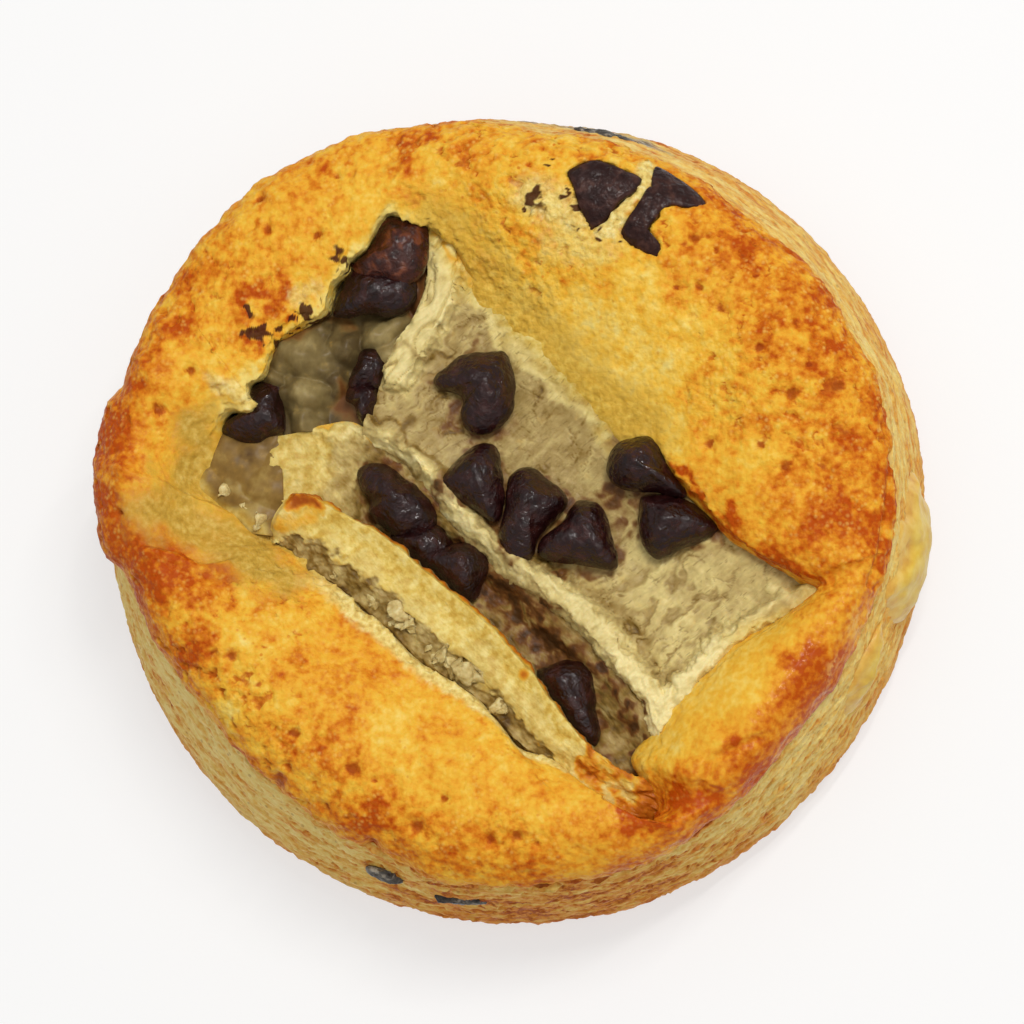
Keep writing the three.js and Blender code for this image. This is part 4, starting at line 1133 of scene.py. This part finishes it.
bm, grid, u, v, spots = slab(
    UPRIGHT_BACK, UPRIGHT_SLIT, [(-24.8, -1.4), (-25.8, -3.0), (-26.4, -4.8)],
    [(21.4, -37.2), (19.8, -38.8)], (320, 100), upright_height)
wavy = warped(grid, 2.0, 1.1, 15.0)
fallen = np.zeros_like(u)
for (ax, ay), (bx, by) in zip(BAND_EDGE, BAND_EDGE[1:]):
    run, rise = bx - ax, by - ay
    from_x, from_y = wavy[..., 0] - ax, wavy[..., 1] - ay
    below = (rise * from_x - run * from_y) / math.hypot(run, rise)
    share = (from_x * run + from_y * rise) / (run**2 + rise**2)
    beside = (share >= -0.1) & (share <= 1.1)
    fallen = np.where(beside, np.maximum(fallen, ease(below, -0.2, 0.5)), fallen)
relief = 0.2 * grain(grid, 4.0, 2, 14.0) + 0.07 * grain(grid, 1.0, 3, 18.0) - 0.3 * fallen
relief += 0.5 * fallen * grain(grid, 1.7, 3, 28.0) + 0.2 * fallen * grain(grid, 0.7, 2, 29.0)
shrivelled = warped(grid, 2.0, 1.5, 33.0) * np.array([0.5, 1, 1])
relief += 0.7 * ease(u, 0.76, 0.9) * grain(shrivelled, 1.9, 3, 33.0)
grid = roughen(grid, relief * ease(v, 0, 0.04))
serrated = hump(v, 0.06) * (0.3 * grain(grid, 0.9, 2, 36.0) + 0.3 * grain(grid, 2.4, 2, 37.0))
grid[..., 0] += 0.75 * serrated
grid[..., 1] += 0.66 * serrated
burnt = 0.95 * near_path(wavy, [(-23.2, -0.6), (-21.4, -1.0), (-20.2, -1.8)], 1.9)
burnt = np.maximum(burnt, 0.34 * near_path(wavy, [(-25.0, -3.4), (-21.0, -3.4)], 1.6))
burnt = np.maximum(burnt, 0.82 * ease(u + 0.14 * grain(grid, 2.6, 3, 34.0), 0.84, 0.97))
burnt = np.maximum(burnt, 0.9 * hump(v, 0.045))
burnt = np.maximum(burnt, 0.8 * hump(np.hypot(grid[..., 0] - 4.0, grid[..., 1] + 22.0), 1.0))
# Toward the slit at the front the tone is painted darker: painted shade down in the slit.
tone = 0.72 - 0.3 * fallen + 0.4 * grain(grid, 2.4, 3, 47.0) * fallen - 0.5 * ease(v, 0.82, 0.95)
batter = (0.95 - 0.3 * ease(v + 0.3 * grain(grid, 3.0, 2, 48.0), 0.3, 0.5)) * (1 - fallen)
finish_slab(
    "pear_upright_slice", bm, grid, spots, flesh_look("pear_upright_slice", math.radians(-48), 0.2),
    "pear_slice_upright", tone=tone, film=batter, speck=0.3, burnt=burnt, stain=0.25 * hump(v, 0.02))

# The narrow slice in the trough between them, lemon-yellow batter over its left end.
SUNKEN_BACK = [
    (-26.0, 6.8), (-23.0, 7.2), (-20.2, 8.0), (-16.2, 8.2), (-11.0, 4.2), (-1.6, -5.4), (6.6, -12.4),
    (13.6, -19.6), (20.6, -30.0),
]
SUNKEN_FRONT = [
    (-25.6, -2.4), (-21.0, -2.2), (-17.4, -3.6), (-14.0, -5.4), (-8.0, -8.8), (-2.0, -14.4),
    (4.0, -22.4), (10.0, -31.0), (17.0, -35.6),
]
SUNKEN_DARK = [  # where chocolate ran down into the trough: path, width, how dark
    ([(-1.5, -10.5), (2.5, -13.8), (6.0, -17.4), (10.0, -21.0)], 4.6, 1.0),
    ([(12.4, -20.5), (14.6, -24.0), (16.6, -28.2), (17.8, -31.0)], 1.8, 1.1),
    ([(10.0, -30.5), (14.0, -32.4), (17.5, -34.5)], 2.4, 0.6),
    ([(-11.5, -2.5), (-7.0, -7.0), (-2.0, -10.0)], 3.0, 0.8),
]


def sunken_height(plan, u, v):
    patch = 1 - ease(plan[..., 0], -18.2, -13.2)
    side = (2.2 * (1 - ease(v, 0.14, 0.55)) + 0.5 * ease(v, 0.5, 0.9)) * ease(u, 0.32, 0.46)
    return 20.7 + 2.7 * patch + side + 1.2 * ease(u, 0.8, 1) - 0.5 * (1 - ease(u, 0, 0.02))


bm, grid, u, v, spots = slab(
    SUNKEN_BACK, SUNKEN_FRONT, [(-26.5, 4.6), (-26.1, 2.6), (-25.6, 0.8)], [(19.0, -33.0)],
    (280, 80), sunken_height)
wavy = warped(grid, 2.0, 1.2, 52.0)
patch = 1 - ease(wavy[..., 0] - 0.25 * wavy[..., 1], -17.8, -15.6)
ledge = near_path(wavy, [(-20.6, 7.6), (-17.6, 7.0), (-15.0, 6.6)], 1.1)
relief = 0.5 * grain(grid, 3.5, 2, 54.0) + 0.24 * grain(grid, 1.1, 3, 58.0) + 0.5 * ledge
grid = roughen(grid, relief)
grid[..., 0] += hump(u, 0.06) * (1.3 * grain(grid, 3.4, 3, 55.0) - 0.3)
dark = np.zeros_like(u)
for path, width, amount in SUNKEN_DARK:
    dark = np.maximum(dark, amount * near_path(wavy, path, width))
# A dark ring round each chip: partly melted chocolate, partly painted contact shade.
for number in range(7, 11):
    dark = np.maximum(dark, 0.6 * hump(np.minimum(depth_inside(wavy, CHIPS[number][3]), 0), 1.2))
tone = 0.3 + 0.34 * patch + 0.3 * grain(grid, 1.8, 3, 64.0) + 0.3 * ledge
lemon = patch * (1 - 0.75 * ease(wavy[..., 0] - 0.3 * wavy[..., 1], -21.5, -19.0))
finish_slab(
    "pear_sunken_slice", bm, grid, spots, flesh_look("pear_sunken_slice", math.radians(-45), 0.2),
    "pear_slice_sunken", tone=tone - 0.1 * patch, film=0.7 * lemon, speck=1 - patch,
    stain=dark * (0.75 + 0.8 * grain(grid, 1.5, 3, 67.0)),
    burnt=0.3 * near_path(wavy, [(-20.6, 8.3), (-16.4, 8.6), (-13.6, 6.0)], 0.8))

# Flesh low in the hollows at the back left and the far left: smooth grey-green lumps.
# Each lump's last number, tone, is how much paler its top is painted: partly paler flesh, partly painted
# light on its dome.
HOLLOW_FLESH = [  # name, node, its tones, back, front, height, tone, lumps: x, y, reach, height, tone
    ("pear_back_slice", "pear_slice_back",
     [(0.0, (86, 70, 42)), (0.25, (128, 110, 68)), (0.5, (168, 150, 100)), (0.75, (206, 190, 130))],
     [(-27.8, 19.4), (-18.0, 26.5), (-6.8, 27.0)],
     [(-27.0, 7.0), (-20.0, 7.2), (-13.0, 6.6)], 22.6, 0.0,
     [(-22.6, 16.6, 4.4, 3.6, 0.28), (-17.8, 17.4, 2.6, 2.4, 0.14), (-13.2, 18.9, 2.8, 2.8, 0.32),
      (-22.6, 11.0, 2.8, 3.0, 0.28), (-19.6, 13.2, 1.8, 1.6, 0.1), (-9.2, 24.0, 3.0, 2.4, 0.0),
      (-11.4, 16.2, 3.0, 2.4, 0.3), (-22.6, 8.2, 2.4, 2.2, 0.22), (-25.2, 13.2, 2.0, 2.6, 0.2)]),
    ("pear_left_slice", "pear_slice_left",
     [(0.0, (84, 60, 30)), (0.25, (134, 104, 50)), (0.5, (172, 148, 84)), (0.75, (212, 194, 126))],
     [(-37.0, 8.6), (-25.0, 8.4)], [(-37.0, -3.4), (-24.6, -5.2)], 23.1, 0.14,
     [(-31.0, 4.6, 4.0, 1.0, 0.06), (-27.6, 2.0, 3.0, 0.8, 0.1), (-30.4, 0.2, 2.0, 0.6, 0.2),
      (-28.4, -2.6, 2.8, 0.6, 0.24), (-34.0, 2.4, 3.0, 0.9, 0.1), (-26.0, -4.6, 2.4, 0.5, 0.2)]),
]
for name, replaced, tones, back, front, level, shade, lumps in HOLLOW_FLESH:
    left, right = (np.mean([back[end], front[end]], axis=0) for end in (0, -1))
    bm, grid, u, v, spots = slab(
        back, front, [left], [right], (130, 120), lambda plan, u, v: level + 0 * u)
    wavy = warped(grid, 5.0, 1.6, 73.0)
    clouded = shade + 0.14 * grain(grid, 3.0, 3, 72.0)
    tone = clouded
    lift = np.zeros_like(u)
    for x, y, reach, rise, lit_paler in lumps:
        near = hump(np.hypot(wavy[..., 0] - x, wavy[..., 1] - y), reach * 1.3)
        lift = np.maximum(lift, rise * near**0.7)
        # The lump tops are painted paler: partly their own paler flesh, partly painted light on the
        # domes, leaving painted shade in the valleys between.
        tone = np.maximum(tone, clouded + lit_paler * near**0.5)
    grid = roughen(grid, lift + 0.12 * grain(grid, 3.0, 2, 70.0))
    rusty = near_path(wavy, [(-18.6, 12.6), (-17.8, 9.8), (-16.4, 8.4)], 1.6)
    # Darker along the crust's edge, which is painted shade under that edge, and brownish flesh beside
    # chips 14 and 15; both go into the stain paint.
    fringe_shade_and_brown = 0.45 * near_path(wavy, [(-26.0, 14.5), (-24.2, 18.6), (-19.6, 20.8), (-17.2, 20.0)], 1.2)
    fringe_shade_and_brown = np.maximum(fringe_shade_and_brown, 0.9 * near_path(wavy, [(-10.6, 21.6), (-8.4, 24.4), (-7.4, 29.0)], 1.6))
    batter = 0.6 * near_path(
        wavy, [(-26.6, -5.0), (-30.0, -3.4), (-33.4, -1.6), (-35.6, 3.0), (-34.6, 6.6)], 2.0)
    finish_slab(
        name, bm, grid, spots, flesh_look(name, 1.1, 0.03, 2.4, 0.3, tones), replaced,
        tone=tone, film=batter, speck=0.4, stain=np.maximum(fringe_shade_and_brown, 0.6 * rusty))

# Pear that was pressed against the tin: smooth, pale, swollen lenses in the cake's side.
LENS_FADE = 1.6  # how far a lens stands out where its tone has left the wall's
SIDE_LENSES = [  # name, node, x, y, z, azimuth it faces, half depth, half length, half height
    ("pear_side_slice", "pear_slice_side", 44.3, -5.9, 13.4, -7.5, 5.9, 9.8, 8.2),
    ("pear_side_front_slice", "pear_slice_side_front", 41.2, -19.8, 16.4, -25.7, 3.2, 6.4, 4.6),
]
lens_look, tree, shader, where = new_material("pear_side")
level = calc(tree, "MULTIPLY_ADD", mottle(tree, where, 1.8), 1.2, 0.5)
tone = tone_ramp(tree, level, [(0.1, (198, 148, 54)), (0.5, (216, 180, 68)), (0.9, (230, 204, 106))])
wall_tone = tone_ramp(tree, level, [
    (0.2, (202, 142, 58)), (0.5, (222, 178, 84)), (0.8, (232, 200, 114)),
])
tone = blend(tree, painted(tree, "standing"), wall_tone, tone)
tree.links.new(tone, shader.inputs["Base Color"])
shader.inputs["Roughness"].default_value = 0.34
shader.inputs["Specular IOR Level"].default_value = 0.3
moist_flesh(shader, 1.6, 0.15)
add_bump(tree, shader, speckle(tree, where, 0.8, 3.0), 0.3, 0.25)
for name, replaced, x, y, z, facing, deep, long, tall in SIDE_LENSES:
    bm = bmesh.new()
    bmesh.ops.create_uvsphere(bm, u_segments=120, v_segments=80, radius=1)
    bmesh.ops.scale(bm, vec=(deep, long, tall), verts=bm.verts)
    bmesh.ops.rotate(bm, matrix=Matrix.Rotation(math.radians(facing), 3, "Z"), verts=bm.verts)
    bmesh.ops.translate(bm, vec=(x, y, z), verts=bm.verts)
    points = np.array([v.co for v in bm.verts])
    ragged = np.stack([grain(points, 9.0, 2, 84.0 + k) for k in range(3)], axis=1)
    points += (ragged + 0.4 * np.roll(ragged, 1, axis=1)) * np.array([0.5, 2.2, 3.0])
    bumpy = 0.012 * grain(points, 6.0, 3, 80.0) + 0.003 * grain(points, 1.2, 3, 81.0)
    points[:, :2] *= (1 + bumpy)[:, None]
    around = np.degrees(np.arctan2(points[:, 1], points[:, 0]))
    rise = np.clip((points[:, 2] - BULGE_HEIGHT) / (EDGE_HEIGHT - BULGE_HEIGHT), 0, 1) ** 1.4
    wall = outline(BULGE, around) * (1 - rise) + outline(CRUST_EDGE, around) * rise
    lens = finish_mesh(name, bm, points)
    paint(lens, "standing", ease(np.hypot(points[:, 0], points[:, 1]) - wall, 0.0, LENS_FADE))
    finish_piece(lens, lens_look, "pear", replaced)

# ---------------------------------------------------------------- the chocolate chips
# Dark baking chips, each a soft drop that slumped in the oven: glossy, purplish brown, with blunt
# edges running down from its tip. They lie on the slices, in the hollows and sunk in the crust.
RIM_STEPS = 1100
CREST_RADIUS = 36  # where the crust is highest, over the sunk chips
REDDISH_CHIP = 15  # cocoa came out of this one, right under the crust


def chocolate_look(name, tones, shine, squash=1.0):
    """Dark chocolate: mottled, with small blunt bumps and a thin gloss. A squash above 1 flattens
    the pattern."""
    look, tree, shader, where = new_material(name)
    where = node(tree, "ShaderNodeMapping", {"Vector": where, "Scale": (1, 1, squash)}).outputs["Vector"]
    tone = tone_ramp(tree, speckle(tree, where, 1.4, 4.0, 0.5), tones)
    tree.links.new(tone, shader.inputs["Base Color"])
    smudges = calc(tree, "MULTIPLY_ADD", speckle(tree, where, 0.8, 3.0), 0.15, 0.05)
    tree.links.new(smudges, shader.inputs["Roughness"])
    shader.inputs["Specular IOR Level"].default_value = shine
    shader.inputs["Coat Weight"].default_value = 0.4 * shine
    shader.inputs["Coat Roughness"].default_value = 0.05
    moist_flesh(shader, 0.6, 0.03)
    blunt = speckle(tree, where, 1.0, 4.0, 0.9)
    blunt = calc(tree, "MULTIPLY_ADD", bubbles(tree, where, 0.7), 0.3, blunt)
    add_bump(tree, shader, blunt, 0.8, 0.4)
    return look


dark_chocolate = chocolate_look(
    "dark_chocolate", [(0.3, (22, 5, 5)), (0.52, (38, 13, 12)), (0.72, (58, 27, 23))], 0.4)
reddish_chocolate = chocolate_look(
    "reddish_chocolate", [(0.3, (36, 12, 8)), (0.52, (64, 26, 14)), (0.72, (112, 56, 28))], 0.36)
dusty_chocolate = chocolate_look(
    "dusty_chocolate", [(0.3, (34, 17, 15)), (0.52, (50, 29, 26)), (0.72, (80, 52, 44))], 0.16)
for number, (foot, thick, tip, shape) in CHIPS.items():
    bm = bmesh.new()
    bmesh.ops.create_uvsphere(bm, u_segments=110, v_segments=56, radius=1)
    unit = np.array([v.co for v in bm.verts])
    turn = np.arctan2(unit[:, 1], unit[:, 0]) / math.tau
    rim = closed_curve([(x, y, 0) for x, y in reversed(shape)], RIM_STEPS)[:, :2]
    rim = rim[np.rint(turn * RIM_STEPS).astype(int) % RIM_STEPS]
    rho = np.hypot(unit[:, 0], unit[:, 1])
    centre = np.mean(shape, axis=0)
    over = np.clip(unit[:, 2], 0, 1)
    middle = centre + (np.array(tip) - centre) * over[:, None]
    plan = middle + (rim - middle) * (rho**0.92)[:, None]
    if number in SUNK_CHIPS:
        look, lumpy = dusty_chocolate, 0.4
        crest = foot - 0.07 * (np.hypot(plan[:, 0], plan[:, 1]) - CREST_RADIUS) ** 2
        height = crest - thick * (1 - np.where(unit[:, 2] > 0, over**0.15, unit[:, 2]))
    else:
        look, lumpy = reddish_chocolate if number == REDDISH_CHIP else dark_chocolate, 1.0
        dome = np.where(unit[:, 2] > 0, 0.55 * over + 0.45 * (1 - rho) ** 0.9, 0.35 * unit[:, 2])
        height = foot + 0.25 * thick + 0.8 * thick * dome
    points = np.concatenate([plan, height[:, None]], axis=1)
    swell = 0.26 * grain(points, 3.0, 2, 30.0 + number) + 0.1 * grain(points, 1.1, 2, 95.0)
    points += unit * (swell * lumpy)[:, None]
    chip = finish_mesh(f"melted_chip_{number:02d}", bm, points)
    finish_piece(chip, look, "chocolate", f"chocolate_chip_{number:02d}")

# Chips that were pressed flat against the tin and show in the cake's side, greyed by the metal.
SIDE_CHIP_DEPTH = 0.8
SIDE_CHIPS = [  # number, x, y, z, half length, half height
    (19, -13.4, -44.4, 18.8, 2.4, 0.8), (20, -4.8, -47.2, 16.6, 3.2, 0.9),
    (21, 13.2, 42.6, 17.2, 4.6, 0.6),
]
greyed_chocolate = chocolate_look(
    "greyed_chocolate", [(0.36, (44, 38, 36)), (0.54, (90, 86, 80)), (0.7, (176, 168, 152))], 0.2, 4.0)
for number, x, y, z, long, tall in SIDE_CHIPS:
    bm = bmesh.new()
    bmesh.ops.create_uvsphere(bm, u_segments=72, v_segments=40, radius=1)
    bmesh.ops.scale(bm, vec=(SIDE_CHIP_DEPTH, long, tall), verts=bm.verts)
    bmesh.ops.rotate(bm, matrix=Matrix.Rotation(math.atan2(y, x), 3, "Z"), verts=bm.verts)
    bmesh.ops.translate(bm, vec=(x, y, z), verts=bm.verts)
    points = np.array([v.co for v in bm.verts])
    points += 0.3 * np.stack([grain(points, 1.8, 3, 100.0 + k) for k in range(3)], axis=1)
    chip = finish_mesh(f"pressed_chip_{number:02d}", bm, points)
    finish_piece(chip, greyed_chocolate, "chocolate", f"chocolate_chip_{number:02d}")

# ---------------------------------------------------------------- the loose crumbs
# Pale crumbs torn off along the slit and stuck to the slices, each a small ragged lump.
CRUMBS = [  # x, y, z, radius
    (-10.6, -14.4, 23.6, 1.2), (-9.7, -15.7, 23.5, 1.2), (-5.4, -19.2, 23.5, 1.4),
    (-4.4, -20.3, 23.4, 1.0), (-2.3, -21.5, 23.9, 1.4), (1.2, -26.0, 23.6, 0.8),
    (-7.0, -18.0, 23.4, 0.7), (-17.6, -9.6, 23.5, 0.6), (-31.4, 0.6, 23.4, 0.6),
    (-29.8, -1.4, 23.2, 0.7), (-33.0, -2.8, 23.7, 0.6), (-27.9, -7.8, 24.2, 0.7),
    (-13.6, -12.6, 23.6, 0.7), (-27.8, -3.2, 23.1, 0.8), (-11.6, -12.6, 23.7, 0.7),
]
bm = bmesh.new()
for x, y, z, radius in CRUMBS:
    place = Matrix.Translation((x, y, z))
    bmesh.ops.create_uvsphere(bm, u_segments=40, v_segments=24, radius=radius, matrix=place)
points = np.array([v.co for v in bm.verts])
ragged = np.stack([grain(points, 1.7, 3, 110.0 + k) for k in range(3)], axis=1)
points += ragged * np.array([1.5, 1.5, 0.7])
crumb_look, tree, shader, where = new_material("pale_crumb")
tone = tone_ramp(tree, speckle(tree, where, 0.7, 4.0), [
    (0.3, (176, 148, 88)), (0.5, (204, 182, 120)), (0.72, (224, 208, 154)),
])
tree.links.new(tone, shader.inputs["Base Color"])
shader.inputs["Roughness"].default_value = 0.6
shader.inputs["Specular IOR Level"].default_value = 0.25
moist_flesh(shader, 1.2, 0.12)
add_bump(tree, shader, speckle(tree, where, 0.4, 3.0), 0.6, 0.25)
finish_piece(finish_mesh("torn_crumbs", bm, points), crumb_look, "crust")
